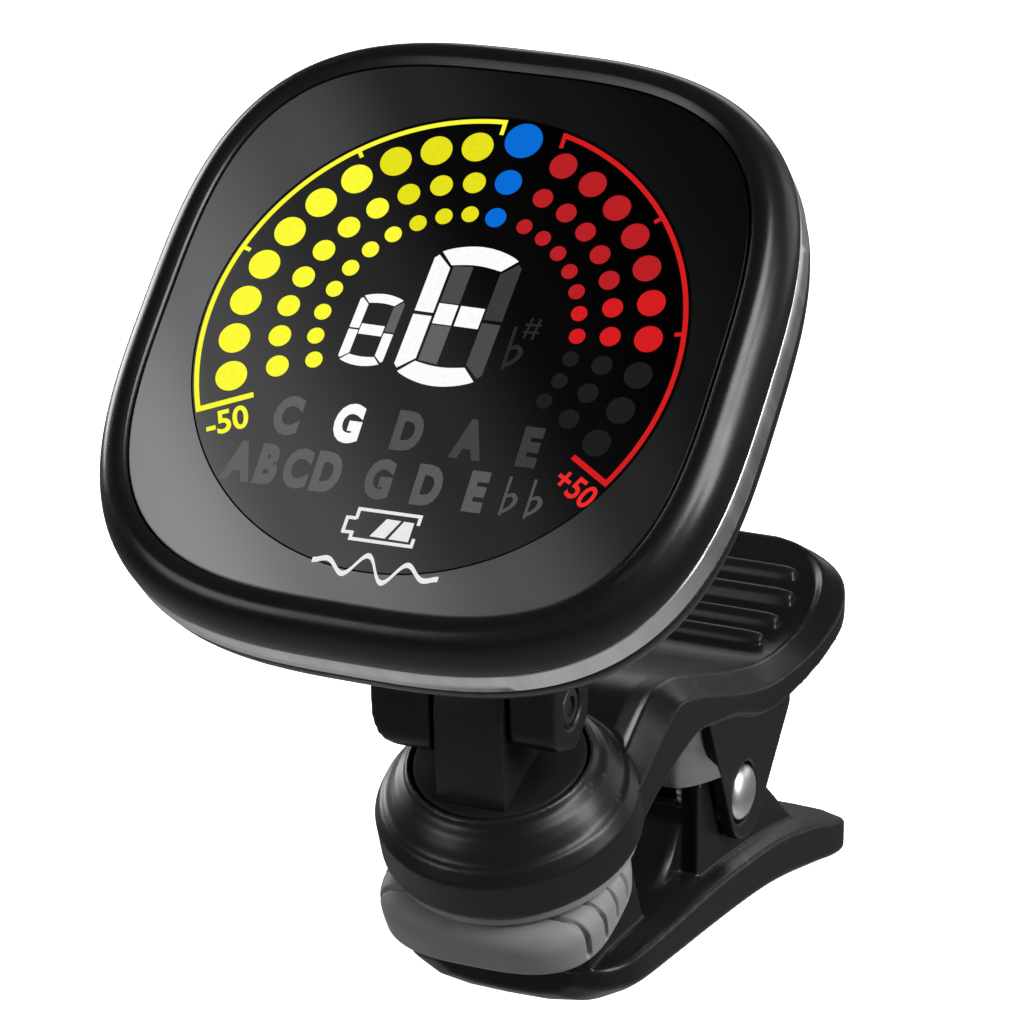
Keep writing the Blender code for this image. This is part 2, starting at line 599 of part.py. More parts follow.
def make_buttons():
    """Two push buttons on the back, each with a flange inside the cover that keeps it in."""
    for name, (x, y) in BUTTON_XY.items():
        place = (HEAD_OFFSET[0] + x, HEAD_OFFSET[1] + y, HEAD_OFFSET[2])
        axis = add_empty(f"{name}_slide", place, 0.0, TILT_AXIS)
        profile = [(0.0, -7.95), (3.9, -7.95), (3.9, -8.3), (BUTTON_RADIUS, -8.3), (BUTTON_RADIUS, -10.1),
                   (BUTTON_RADIUS - 0.4, -10.4), (0.0, -10.4)]
        turned_part(f"{name}_button", profile, "black_gloss", axis, steps=24, closed=False)


# ---------------------------------------------------------------- build

clear_scene()
PARTS = new_collection("clip_on_tuner")
TOOLS = new_collection("cutters")
MATERIALS = {name: make_material(name) for name in FINISHES}

CLAMP_AXIS = add_empty("clamp_axis", (0.0, 0.0, 0.0), CLAMP_LEAN)
CLIP_AXIS = add_empty("clip_axis", (0.0, *PIVOT))
lean = math.radians(CLAMP_LEAN)
TILT_PLACE = (0.0, -math.sin(lean) * TILT_HEIGHT, math.cos(lean) * TILT_HEIGHT)
SWIVEL_AXIS = add_empty("swivel_axis", TILT_PLACE, CLAMP_LEAN)
TILT_AXIS = add_empty("tilt_axis", TILT_PLACE, HEAD_LEAN)

make_lower_jaw()
make_lower_pad()
make_pivot_pin()
make_clip_spring()
make_upper_jaw()
make_upper_pad()
make_swivel_post()
make_swivel_fasteners()
make_front_bezel()
make_display_stack()
make_trim_ring()
make_rear_cover()
make_head_internals()
make_head_fasteners()
make_buttons()
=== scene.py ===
"""Looks of the clip-on tuner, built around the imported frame.

Lengths are in millimetres in three working frames and become metres when meshes are made:
the clip frame (the record's own), the clamp frame (z along the clamping axis) and the head
frame (z out of the display's face, y up the face, origin in the middle of the lens).
"""

import json
import math

import bmesh
import bpy
import numpy as np
from mathutils import Matrix, Vector


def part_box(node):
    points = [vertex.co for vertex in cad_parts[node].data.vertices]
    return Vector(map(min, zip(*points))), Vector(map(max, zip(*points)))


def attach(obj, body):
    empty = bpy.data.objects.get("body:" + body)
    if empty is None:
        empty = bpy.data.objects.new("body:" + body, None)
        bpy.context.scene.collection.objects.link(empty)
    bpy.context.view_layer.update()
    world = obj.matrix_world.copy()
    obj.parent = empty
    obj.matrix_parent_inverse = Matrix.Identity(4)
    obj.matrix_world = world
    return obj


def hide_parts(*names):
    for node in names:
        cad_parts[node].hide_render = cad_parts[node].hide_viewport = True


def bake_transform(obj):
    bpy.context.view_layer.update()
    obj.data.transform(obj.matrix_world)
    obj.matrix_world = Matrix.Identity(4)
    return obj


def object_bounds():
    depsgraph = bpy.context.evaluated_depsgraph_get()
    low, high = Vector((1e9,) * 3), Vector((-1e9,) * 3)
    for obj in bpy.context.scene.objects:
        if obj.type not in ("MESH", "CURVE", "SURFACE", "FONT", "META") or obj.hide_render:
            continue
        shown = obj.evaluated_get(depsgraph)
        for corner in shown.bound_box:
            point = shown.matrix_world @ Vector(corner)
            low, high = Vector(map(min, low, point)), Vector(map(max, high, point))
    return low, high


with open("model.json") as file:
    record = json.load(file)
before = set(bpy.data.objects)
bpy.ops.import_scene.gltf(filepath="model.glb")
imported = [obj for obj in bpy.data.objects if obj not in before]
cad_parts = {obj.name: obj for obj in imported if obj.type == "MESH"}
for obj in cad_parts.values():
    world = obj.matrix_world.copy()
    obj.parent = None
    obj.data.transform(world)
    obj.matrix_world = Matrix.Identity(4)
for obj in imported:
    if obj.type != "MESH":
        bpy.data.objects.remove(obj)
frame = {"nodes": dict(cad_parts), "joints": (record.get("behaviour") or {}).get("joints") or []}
CAD_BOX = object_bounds()

MM = 0.001
JOINTS = {joint["name"]: joint for joint in frame["joints"]}


def in_mm(point):
    return Vector(point) / MM


def leaning_frame(origin_mm, z_axis):
    """Frame turned about X so that its z lies along z_axis."""
    lean = math.atan2(-z_axis[1], z_axis[2])
    return Matrix.Translation(Vector(origin_mm) * MM) @ Matrix.Rotation(lean, 4, "X")


# Places taken from the frame
PIVOT = in_mm(JOINTS["clip_hinge"]["pos_m"])
TILT = in_mm(JOINTS["head_tilt"]["pos_m"])
CLAMP_AXIS = Vector(JOINTS["swivel_turn"]["axis"])
FACE_NORMAL = Vector(JOINTS["power_press"]["axis"])
TILT_HEIGHT = TILT.length

LENS_THICK = 1.2
lens_low, lens_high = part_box("display_lens")
LENS_MIDDLE = (Vector(lens_low) + Vector(lens_high)) / 2.0 + FACE_NORMAL * (LENS_THICK / 2.0 * MM)

CLIP = Matrix.Identity(4)
CLAMP = leaning_frame((0.0, 0.0, 0.0), CLAMP_AXIS)
HEAD = leaning_frame(in_mm(LENS_MIDDLE), FACE_NORMAL)
ART_SHIFT = 0.6               # the artwork sits this far right of the window's middle
ART = HEAD @ Matrix.Translation((ART_SHIFT * MM, 0.0, 0.0))
HINGE_IN_HEAD = HEAD.inverted() @ (TILT * MM) / MM

# Sizes of the head
LENS_HALF, LENS_POWER = (22.95, 23.35), 3.26
SHELL_HALF, SHELL_POWER = (26.25, 26.8), 3.05
LENS_GAP = 0.16
BEZEL_BACK, COVER_FRONT = -3.3, -6.3
DISPLAY_RADIUS = 19.95
DISPLAY_CENTRE = (-0.2, -0.7)        # in the artwork's frame
OUTLINE_STEPS = 168
EAR_BOTTOM = 10.35            # the fork's lowest height, in the clip frame

# Sizes of the clip
BOSS_RADIUS = 11.0
EAR_INNER, EAR_OUTER = 8.8, 10.0
WALL_INNER, WALL_OUTER = 6.7, 8.5


# ---------------------------------------------------------------- camera

def add_camera():
    """Looks at the object from the front right, a little above."""
    camera = bpy.data.objects.new("camera", bpy.data.cameras.new("camera"))
    bpy.context.scene.collection.objects.link(camera)
    camera.location = (0.13689, -0.31109, 0.15548)
    camera.rotation_euler = (math.radians(90.0 - 20.4), 0.0, math.radians(23.8))
    camera.data.sensor_width = 36.0
    camera.data.lens = 158.2
    camera.data.clip_start = 0.01
    bpy.context.scene.camera = camera


# ---------------------------------------------------------------- outlines

def smooth_curve(points, per_span):
    """Catmull-Rom curve through points of any dimension, with per_span steps in each span."""
    points = np.array(points, float)
    padded = np.vstack([2 * points[0] - points[1], points, 2 * points[-1] - points[-2]])
    result = []
    for span in range(len(points) - 1):
        a, b, c, d = padded[span:span + 4]
        for step in range(per_span):
            t = step / per_span
            result.append(0.5 * (2 * b + (c - a) * t + (2 * a - 5 * b + 4 * c - d) * t ** 2
                                 + (3 * b - a - 3 * c + d) * t ** 3))
    result.append(points[-1])
    return np.array(result)


def fillet(corners, steps=5):
    """Outline through corners (u, v) or (u, v, radius), with arcs at the corners that have a radius."""
    points = []
    count = len(corners)
    for index, corner in enumerate(corners):
        here = Vector(corner[:2])
        radius = corner[2] if len(corner) > 2 else 0.0
        if radius <= 0.0:
            points.append(tuple(here))
            continue
        before = (Vector(corners[index - 1][:2]) - here).normalized()
        after = (Vector(corners[(index + 1) % count][:2]) - here).normalized()
        half = before.angle(after) / 2.0
        centre = here + (before + after).normalized() * (radius / math.sin(half))
        start = here + before * (radius / math.tan(half)) - centre
        sweep = start.angle_signed(here + after * (radius / math.tan(half)) - centre)
        for step in range(steps + 1):
            turned = start.copy()
            turned.rotate(Matrix.Rotation(-sweep * step / steps, 2))
            points.append(tuple(centre + turned))
    return points


def superellipse(half_x, half_y, power, steps=OUTLINE_STEPS):
    cosine, sine = np.cos(circle(steps)), np.sin(circle(steps))
    x = np.sign(cosine) * np.abs(cosine) ** (2.0 / power) * half_x
    y = np.sign(sine) * np.abs(sine) ** (2.0 / power) * half_y
    return np.stack([x, y], -1)


# ---------------------------------------------------------------- meshes

def make_mesh(name, verts, faces):
    mesh = bpy.data.meshes.new(name)
    mesh.from_pydata((np.array(verts, float) * MM).tolist(), [], faces)
    bm = bmesh.new()
    bm.from_mesh(mesh)
    bmesh.ops.remove_doubles(bm, verts=bm.verts, dist=0.0000005)
    bmesh.ops.recalc_face_normals(bm, faces=bm.faces)
    bm.to_mesh(mesh)
    bm.free()
    return mesh


def skin(name, loops, ends="capped"):
    """Skins equal loops of points. ends: capped, joined (last loop meets the first) or open."""
    count = len(loops[0])
    verts = [tuple(point) for loop in loops for point in loop]
    rows = list(range(len(loops)))
    pairs = list(zip(rows, rows[1:]))
    if ends == "joined":
        pairs.append((rows[-1], rows[0]))
    faces = []
    for first, second in pairs:
        for index in range(count):
            after = (index + 1) % count
            faces.append((first * count + index, first * count + after,
                          second * count + after, second * count + index))
    if ends == "capped":
        faces.append(tuple(range(count)))
        faces.append(tuple(range((len(loops) - 1) * count, len(loops) * count)))
    return make_mesh(name, verts, faces)


def circle(steps):
    return np.linspace(0.0, 2.0 * math.pi, steps, endpoint=False)


def turned(name, profile, steps=128, ends="joined"):
    """Turns a profile of (radius, height) points about z."""
    rings = [[(r * math.cos(a), r * math.sin(a), h) for a in circle(steps)] for r, h in profile]
    return skin(name, rings, ends)


SWEEPS = {"X": lambda u, v, along: (along, u, v), "Y": lambda u, v, along: (u, along, v),
          "Z": lambda u, v, along: (u, v, along)}


def prism(name, outline, low, high, axis="X"):
    """Sweeps an outline: (y, z) along X, (x, z) along Y or (x, y) along Z."""
    return skin(name, [[SWEEPS[axis](u, v, along) for u, v in outline] for along in (low, high)])


def rod(name, radius, low, high, axis, centre, steps=48):
    """A round bar used as a cutter or inside a moulding."""
    outline = [(centre[0] + radius * math.cos(a), centre[1] + radius * math.sin(a)) for a in circle(steps)]
    return prism(name, outline, low, high, axis)


def joined(name, meshes):
    """Several meshes put together in one, without cutting them."""
    bm = bmesh.new()
    for mesh in meshes:
        bm.from_mesh(mesh)
    result = bpy.data.meshes.new(name)
    bm.to_mesh(result)
    bm.free()
    return result


def rotated(mesh, matrix):
    mesh.transform(matrix)
    return mesh


def new_object(name, mesh, matrix):
    obj = bpy.data.objects.new(name, mesh)
    bpy.context.scene.collection.objects.link(obj)
    obj.matrix_world = matrix
    return obj


def bake(obj):
    """Applies the object's modifiers."""
    bpy.context.view_layer.update()
    graph = bpy.context.evaluated_depsgraph_get()
    mesh = bpy.data.meshes.new_from_object(obj.evaluated_get(graph))
    obj.modifiers.clear()
    obj.data = mesh
    return obj


def combine(obj, mesh, operation):
    tool = new_object("tool", mesh, obj.matrix_world.copy())
    modifier = obj.modifiers.new(operation.lower(), "BOOLEAN")
    modifier.operation = operation
    modifier.solver = "EXACT"
    modifier.object = tool
    bake(obj)
    bpy.data.objects.remove(tool)
    return obj


def cut(obj, *meshes):
    for mesh in meshes:
        combine(obj, mesh, "DIFFERENCE")
    return obj


def shaped(name, mesh, cutters=(), keep=()):
    """A mesh after cuts, and intersections with the shapes in keep."""
    obj = new_object(name, mesh, CLIP)
    for shape in keep:
        combine(obj, shape, "INTERSECT")
    cut(obj, *cutters)
    result = obj.data
    bpy.data.objects.remove(obj)
    return result


def moulding(name, meshes, matrix, voxel, smoothing):
    """One moulded piece: overlapping closed meshes become a single skin with softened edges."""
    obj = new_object(name, joined(name, meshes), matrix)
    remesh = obj.modifiers.new("skin", "REMESH")
    remesh.mode = "VOXEL"
    remesh.voxel_size = voxel * MM
    remesh.use_smooth_shade = True
    smooth = obj.modifiers.new("soften", "SMOOTH")
    smooth.factor = 0.5
    smooth.iterations = smoothing
    return bake(obj)


def bevel(obj, width, segments):
    modifier = obj.modifiers.new("edges", "BEVEL")
    modifier.width = width * MM
    modifier.segments = segments
    modifier.limit_method = "ANGLE"
    modifier.angle_limit = math.radians(40.0)
    modifier.harden_normals = False
    return bake(obj)


def finish_piece(obj, body, material, replaces=(), smooth_angle=40.0):
    obj.data.materials.clear()
    obj.data.materials.append(material)
    obj.data.shade_smooth()
    obj.data.set_sharp_from_angle(angle=math.radians(smooth_angle))
    if replaces:
        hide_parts(*replaces)
    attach(obj, body)
    return obj


# ---------------------------------------------------------------- materials

def set_stops(ramp, stops, blue=1.0):
    """Fills a colour ramp with (place, grey) stops; blue tints them."""
    while len(ramp.elements) < len(stops):
        ramp.elements.new(0.5)
    for element, (place, grey) in zip(ramp.elements, stops):
        element.position = place
        element.color = (grey, grey, grey * blue, 1.0)


class Nodes:
    """Short way to write a material's nodes."""

    def __init__(self, name):
        self.material = bpy.data.materials.new(name)
        self.material.use_nodes = True
        self.tree = self.material.node_tree
        self.shader = self.tree.nodes["Principled BSDF"]

    def add(self, kind, **settings):
        node = self.tree.nodes.new(kind)
        for key, value in settings.items():
            setattr(node, key, value)
        return node

    def link(self, source, target):
        self.tree.links.new(source, target)

    def set(self, **values):
        for key, value in values.items():
            self.shader.inputs[key.replace("_", " ")].default_value = value

    def math(self, operation, *inputs):
        """A maths node; each input is a number or a socket."""
        node = self.add("ShaderNodeMath", operation=operation)
        for socket, value in zip(node.inputs, inputs):
            if isinstance(value, float):
                socket.default_value = value
            else:
                self.link(value, socket)
        return node.outputs["Value"]

    def coordinates(self):
        return self.add("ShaderNodeTexCoord").outputs["Object"]

    def noise(self, scale, detail=3.0, stretch=None):
        """Noise in the piece's own metres; stretch scales its three axes."""
        vector = self.coordinates()
        if stretch:
            mapping = self.add("ShaderNodeMapping")
            mapping.inputs["Scale"].default_value = stretch
            self.link(vector, mapping.inputs["Vector"])
            vector = mapping.outputs["Vector"]
        noise = self.add("ShaderNodeTexNoise")
        noise.inputs["Scale"].default_value = scale
        noise.inputs["Detail"].default_value = detail
        self.link(vector, noise.inputs["Vector"])
        return noise.outputs["Fac"]

    def ramp(self, source, low, high, from_low=0.3, from_high=0.7):
        """Maps a value to a range."""
        node = self.add("ShaderNodeMapRange")
        node.inputs["From Min"].default_value = from_low
        node.inputs["From Max"].default_value = from_high
        node.inputs["To Min"].default_value = low
        node.inputs["To Max"].default_value = high
        self.link(source, node.inputs["Value"])
        return node.outputs["Result"]

    def mix(self, factor, first, second):
        """Mixes two colours; each is a colour or a socket."""
        node = self.add("ShaderNodeMix", data_type="RGBA")
        self.link(factor, node.inputs["Factor"])
        for socket, value in ((node.inputs["A"], first), (node.inputs["B"], second)):
            if isinstance(value, tuple):
                socket.default_value = (*value, 1.0)
            else:
                self.link(value, socket)
        return node.outputs["Result"]

    def colour(self, source):
        self.link(source, self.shader.inputs["Base Color"])

    def roughness(self, source):
        self.link(source, self.shader.inputs["Roughness"])

    def bump(self, height, strength):
        node = self.add("ShaderNodeBump")
        node.inputs["Strength"].default_value = strength
        node.inputs["Distance"].default_value = 0.00005
        self.link(height, node.inputs["Height"])
        self.link(node.outputs["Normal"], self.shader.inputs["Normal"])


def moulded_plastic(name, dark, light, rough_low, rough_high, grain=0.12):
    """Moulded plastic: fine grain, uneven sheen, and edges painted lighter, partly as wear from handling and
    partly as a painted edge highlight.
    """
    nodes = Nodes(name)
    # sharp edges get a lighter colour: partly wear, partly a painted highlight along the edges
    edge = nodes.ramp(nodes.add("ShaderNodeNewGeometry").outputs["Pointiness"], 0.0, 1.0, 0.5, 0.62)
    cloud = nodes.ramp(nodes.noise(90.0), 0.0, 1.0)
    body = nodes.mix(cloud, dark, tuple(channel * 1.25 for channel in dark))
    nodes.colour(nodes.mix(edge, body, light))
    nodes.roughness(nodes.ramp(nodes.noise(240.0, 4.0), rough_low, rough_high))
    nodes.bump(nodes.noise(5200.0, 2.0), grain)
    nodes.set(Specular_IOR_Level=0.25)
    return nodes.material


def rubber(name, colour):
    """Matt silicone rubber with a dusty bloom."""
    nodes = Nodes(name)
    dust = nodes.ramp(nodes.noise(150.0, 5.0), 0.0, 1.0, 0.35, 0.75)
    nodes.colour(nodes.mix(dust, colour, tuple(channel * 1.18 for channel in colour)))
    nodes.roughness(nodes.ramp(nodes.noise(900.0, 3.0), 0.5, 0.68))
    nodes.bump(nodes.noise(6500.0, 2.0), 0.14)
    nodes.set(Specular_IOR_Level=0.3, Sheen_Weight=0.05, Sheen_Roughness=0.5)
    return nodes.material


def polished_metal(name, colour, rough_low, rough_high, stretch, streaks=0.05):
    """Polished or brushed metal, with streaks drawn out along one axis."""
    nodes = Nodes(name)
    lines = nodes.noise(700.0, 4.0, stretch)
    nodes.colour(nodes.mix(nodes.ramp(lines, 0.0, 1.0), colour, tuple(channel * 0.9 for channel in colour)))
    nodes.roughness(nodes.ramp(lines, rough_low, rough_high))
    nodes.bump(lines, streaks)
    nodes.set(Metallic=1.0)
    return nodes.material


# grey levels of a painted reflection of a soft box, bright at the window's lower left and black at its upper
# right
LENS_REFLECTION_STOPS = ((0.0, 0.30), (0.18, 0.165), (0.43, 0.070), (0.64, 0.016), (0.82, 0.006), (1.0, 0.003))
REFLECTION_ACROSS, REFLECTION_UP, REFLECTION_REACH = 0.8, 0.7, 0.026      # direction and half length (m) of the painted reflection on the lens
RING_HALF = 0.07


def lens_material():
    """Smoked window with a painted reflection: grey at the lower left going to black at the upper right,
    darker over the round display, and a fine black ring round it.
    """
    nodes = Nodes("smoked_window_painted_reflection")
    split = nodes.add("ShaderNodeSeparateXYZ")
    nodes.link(nodes.coordinates(), split.inputs["Vector"])
    upward = nodes.math("MULTIPLY", split.outputs["Y"], REFLECTION_UP)
    diagonal = nodes.math("MULTIPLY_ADD", split.outputs["X"], REFLECTION_ACROSS, upward)
    # painted reflection: a grey ramp along the window's diagonal
    painted_reflection = nodes.add("ShaderNodeValToRGB")
    painted_reflection.color_ramp.interpolation = "EASE"
    set_stops(painted_reflection.color_ramp, LENS_REFLECTION_STOPS, 1.02)
    nodes.link(nodes.ramp(diagonal, 0.0, 1.0, -REFLECTION_REACH, REFLECTION_REACH), painted_reflection.inputs["Fac"])
    flat = nodes.add("ShaderNodeCombineXYZ")
    for axis, offset in zip("XY", (DISPLAY_CENTRE[0] + ART_SHIFT, DISPLAY_CENTRE[1])):
        nodes.link(nodes.math("SUBTRACT", split.outputs[axis], offset * MM), flat.inputs[axis])
    radius = nodes.add("ShaderNodeVectorMath", operation="LENGTH")
    nodes.link(flat.outputs["Vector"], radius.inputs[0])
    edge = DISPLAY_RADIUS * MM
    inside = nodes.ramp(radius.outputs["Value"], 1.0, 0.0, edge - 0.00002, edge + 0.00002)
    # the painted reflection is made darker over the round display
    deep = nodes.add("ShaderNodeGamma")
    deep.inputs["Gamma"].default_value = 1.45
    nodes.link(painted_reflection.outputs["Color"], deep.inputs["Color"])
    painted_reflection_with_display = nodes.mix(inside, painted_reflection.outputs["Color"], deep.outputs["Color"])
    ring = nodes.math("COMPARE", radius.outputs["Value"], edge, RING_HALF * MM)
    nodes.colour(nodes.mix(ring, painted_reflection_with_display, (0.002, 0.002, 0.002)))
    nodes.roughness(nodes.ramp(nodes.noise(60.0, 5.0), 0.10, 0.16))
    nodes.set(Specular_IOR_Level=0.04)
    return nodes.material


def ink(name, colour, glow):
    """A lit or unlit display segment: glow is how strongly it shines; a fine cell pattern breaks it up."""
    nodes = Nodes(name)
    cells = nodes.ramp(nodes.noise(2600.0, 1.0), 0.94, 1.0)
    shade = nodes.add("ShaderNodeVectorMath", operation="SCALE")
    shade.inputs[0].default_value = colour
    nodes.link(cells, shade.inputs["Scale"])
    nodes.link(shade.outputs["Vector"], nodes.shader.inputs["Emission Color"])
    nodes.set(Emission_Strength=glow, Base_Color=(0.0, 0.0, 0.0, 1.0), Roughness=0.4)
    nodes.set(Specular_IOR_Level=0.08)
    return nodes.material


def plain_part(name, colour, rough, metallic=0.0):
    """Inner parts: a quiet surface with mottling, rough patches and fine grain."""
    nodes = Nodes(name)
    mottle = nodes.ramp(nodes.noise(420.0, 3.0), 0.0, 1.0)
    nodes.colour(nodes.mix(mottle, colour, tuple(channel * 0.85 for channel in colour)))
    nodes.roughness(nodes.ramp(nodes.noise(1300.0, 3.0), rough, min(rough + 0.15, 1.0)))
    nodes.bump(nodes.noise(5000.0, 2.0), 0.08)
    nodes.set(Metallic=metallic)
    return nodes.material


# ---------------------------------------------------------------- head

def shell_ring(inset, height, blend=0.0):
    """Ring of the head's outline, moved in by inset; blend leads it into the lens outline."""
    power = SHELL_POWER + (LENS_POWER - SHELL_POWER) * blend
    plan = superellipse(SHELL_HALF[0] - inset, SHELL_HALF[1] - inset, power)
    return [(x, y, height) for x, y in plan]


def outline_ring(half, power, height, grow=0.0):
    return [(x, y, height) for x, y in superellipse(half[0] + grow, half[1] + grow, power)]


def make_bezel(material):
    """Bullnose frame: a low crest round the lens that rolls over into a short side wall."""
    inner = SHELL_HALF[0] - LENS_HALF[0] - LENS_GAP
    roll = [(inner - 0.15, 0.12), (2.5, 0.3), (1.9, 0.22), (1.3, -0.15), (0.75, -0.8), (0.35, -1.55),
            (0.1, -2.35), (0.0, -3.1)]
    rings = [outline_ring(LENS_HALF, LENS_POWER, height, LENS_GAP) for height in (-1.4, -0.05)]
    for inset, height in smooth_curve(roll, 5):
        rings.append(shell_ring(inset, height, inset / inner))
    rings += [shell_ring(0.06, BEZEL_BACK + 0.05), shell_ring(0.2, BEZEL_BACK), shell_ring(1.7, BEZEL_BACK),
              shell_ring(1.7, -2.6), outline_ring((21.6, 22.0), LENS_POWER, -2.6),
              outline_ring((21.6, 22.0), LENS_POWER, -1.4)]
    obj = new_object("bezel", skin("bezel", rings, "joined"), HEAD)
    return finish_piece(obj, "head", material, ["front_bezel"], 50.0)


def make_lens(material):
    levels = ((-LENS_THICK, 0.0), (-0.12, 0.0), (-0.04, -0.04), (0.0, -0.12))
    rings = [outline_ring(LENS_HALF, LENS_POWER, height, grow) for height, grow in levels]
    obj = new_object("lens", skin("lens", rings), HEAD)
    return finish_piece(obj, "head", material, ["display_lens"])


def make_trim(material):
    """Satin band with a fine bright edge at its front."""
    front, back = BEZEL_BACK - 0.12, COVER_FRONT + 0.35
    section = ((0.25, front), (0.08, front), (0.0, front - 0.1), (0.0, back + 0.1), (0.08, back), (1.7, back),
               (1.7, front))
    band = skin("trim_band", [shell_ring(inset, height) for inset, height in section], "joined")
    obj = new_object("trim_band", band, HEAD)
    return finish_piece(obj, "head", material, ["trim_ring"])


def hinge_ear(low, high, extra, corner):
    """One ear of the head's fork; corner is the radius of its lower outer corner seen from the front."""
    y, z = HINGE_IN_HEAD.y, HINGE_IN_HEAD.z
    side = fillet([(-9.0, -14.5), (y - 4.3 - extra, z + 0.2 - extra, 1.6),
                   (y - 2.3 - extra, z - 3.7 - extra, 1.8), (y + 1.4, z - 3.7 - extra, 2.2),
                   (y + 4.2, z - 0.2, 1.0), (0.5, -14.5)], 8)
    shift, top, bottom = LENS_MIDDLE.x / MM, 40.0, EAR_BOTTOM
    outer_left = low < 0.0
    corners = [(low + shift, top), (low + shift, bottom, corner if outer_left else 0.5),
               (high + shift, bottom, 0.5 if outer_left else corner), (high + shift, top)]
    front = rotated(prism("front", fillet(corners, 8), -60.0, 60.0, "Y"), HEAD.inverted())
    return shaped("ear", prism("ear", side, low, high), keep=[front])


def make_cover(material):
    """Back shell with battery hump, fork ears, button wells, screw wells and socket slot."""
    profile = [(2.0, -8.4), (1.8, COVER_FRONT), (0.3, COVER_FRONT), (0.15, COVER_FRONT - 0.15), (0.15, -7.2),
               (0.35, -7.9), (0.9, -8.7), (1.8, -9.4), (2.9, -9.75), (4.2, -9.85)]
    shell = skin("cover", [shell_ring(inset, height) for inset, height in profile])
    hump = [(13.6, 12.6, 3.6, -9.2, -2.6), (13.3, 12.2, 3.6, -11.4, -3.0), (12.6, 11.4, 3.6, -13.6, -3.8),
            (12.0, 10.7, 3.5, -15.4, -4.4), (10.9, 9.5, 3.4, -16.6, -5.0), (9.0, 7.6, 3.2, -17.0, -5.6)]
    rings = [[(x + 0.6, y + centre, height) for x, y in superellipse(wide, tall, power, 96)]
             for wide, tall, power, height, centre in hump]
    ears = [hinge_ear(-8.2, -2.9, 1.2, 3.2), hinge_ear(3.9, 8.1, 0.0, 0.7)]
    y, z = HINGE_IN_HEAD.y, HINGE_IN_HEAD.z
    screw_well = rod("well", 1.83, 6.2, 12.0, "X", (y, z))
    nut_well = rod("well", 2.2, -12.0, -5.8, "X", (y, z))
    ears[0] = shaped("ear", ears[0], [nut_well])
    ears[1] = shaped("ear", ears[1], [screw_well])
    wells = [(3.25, -7.0, x, 17.5, 48) for x in (-7.0, 7.0)]                                  # buttons
    wells += [(2.1, -8.0, x, y, 48) for x, y in ((17.0, 17.0), (-17.0, 17.0), (-17.0, -17.0), (17.0, -17.0))]
    wells += [(0.45, -8.5, x, 22.3, 20) for x in (-4.0, -2.0, 0.0, 2.0, 4.0)]                 # sound holes
    cutters = [rod("well", radius, -11.0, floor, "Z", (x, y), steps) for radius, floor, x, y, steps in wells]
    shell = shaped("cover", shell, cutters)
    slot_plan = fillet([(-6.9, -12.9, 1.3), (1.1, -12.9, 1.3), (1.1, -10.3, 1.3), (-6.9, -10.3, 1.3)])
    slot = prism("slot", slot_plan, -16.0, -10.5)
    hump_mesh = shaped("hump", skin("hump", rings), [slot])
    obj = moulding("back_cover", [shell, hump_mesh, *ears], HEAD, 0.24, 4)
    return finish_piece(obj, "head", material, ["rear_cover"], 60.0)


# ---------------------------------------------------------------- display artwork

INK_LOW, INK_HIGH = -0.06, 0.02


def plate(outline):
    return prism("ink", outline, INK_LOW, INK_HIGH, "Z")


def disc(x, y, diameter):
    return rod("ink", diameter / 2.0, INK_LOW, INK_HIGH, "Z", (x, y), 40)


def on_ring(ring, clock_deg):
    """Point of a ring at a clockwise angle from straight up."""
    angle = math.radians(clock_deg)
    return ring[0] + ring[2] * math.sin(angle), ring[1] + ring[2] * math.cos(angle)


def bar(start, end, width):
    """A straight stroke between two points."""
    along = (Vector(end) - Vector(start)).normalized()
    across = Vector((-along.y, along.x)) * (width / 2.0)
    corners = [Vector(start) + across, Vector(end) + across, Vector(end) - across, Vector(start) - across]
    return plate([tuple(corner) for corner in corners])


RINGS = ((-0.25, -0.3, 16.8), (0.07, -0.1, 13.4), (0.25, -0.1, 10.6))      # centre and radius
FLAT_SIZES, SHARP_SIZES = (2.6, 1.85, 1.4), (2.25, 1.65, 1.3)
FLAT_START, FLAT_STEP = -7.2, -11.48
SHARP_START, SHARP_STEP = 18.8, 10.67
DOTS_PER_SIDE, SHARP_LIT = 10, 7
IN_TUNE_DOTS = ((1.25, 17.4, 3.1), (1.15, 13.6, 2.2), (1.1, 10.4, 1.7))
SCALE_RADIUS, SCALE_WIDTH = 19.55, 0.4


def dot_meshes(start, step, first, last, sizes):
    meshes = []
    for index in range(first, last):
        for ring, size in zip(RINGS, sizes):
            meshes.append(disc(*on_ring(ring, start + step * index), size))
    return meshes


def on_scale(x, y, inset=0.0):
    """The point of the scale arc in the direction of (x, y)."""
    centre = Vector(DISPLAY_CENTRE)
    return centre + (Vector((x, y)) - centre).normalized() * (SCALE_RADIUS - inset)


def scale_meshes(top, end, ticks, end_line):
    """Scale arc between two points, with a hook at its top, small ticks and an end line."""
    centre = Vector(DISPLAY_CENTRE)
    start_angle = math.atan2(top[1] - centre.y, top[0] - centre.x)
    end_angle = math.atan2(end[1] - centre.y, end[0] - centre.x)
    if end_angle - start_angle > math.pi:
        end_angle -= 2.0 * math.pi
    if top[0] < centre.x + 1.0 and end_angle < start_angle:
        end_angle += 2.0 * math.pi
    angles = np.linspace(start_angle, end_angle, 91)
    band = []
    for side, row in ((0.5, angles), (-0.5, angles[::-1])):
        radius = SCALE_RADIUS + SCALE_WIDTH * side
        band += [(centre.x + radius * math.cos(a), centre.y + radius * math.sin(a)) for a in row]
    meshes = [plate(band)]
    hook = on_scale(*top, -SCALE_WIDTH / 2.0)
    meshes.append(bar(hook, hook - Vector((0.0, 1.35)), 0.34))
    for tick in ticks:
        meshes.append(bar(on_scale(*tick), on_scale(*tick, 0.75), 0.34))
    meshes.append(bar(on_scale(*end, -SCALE_WIDTH / 2.0), end_line, 0.46))
    return meshes


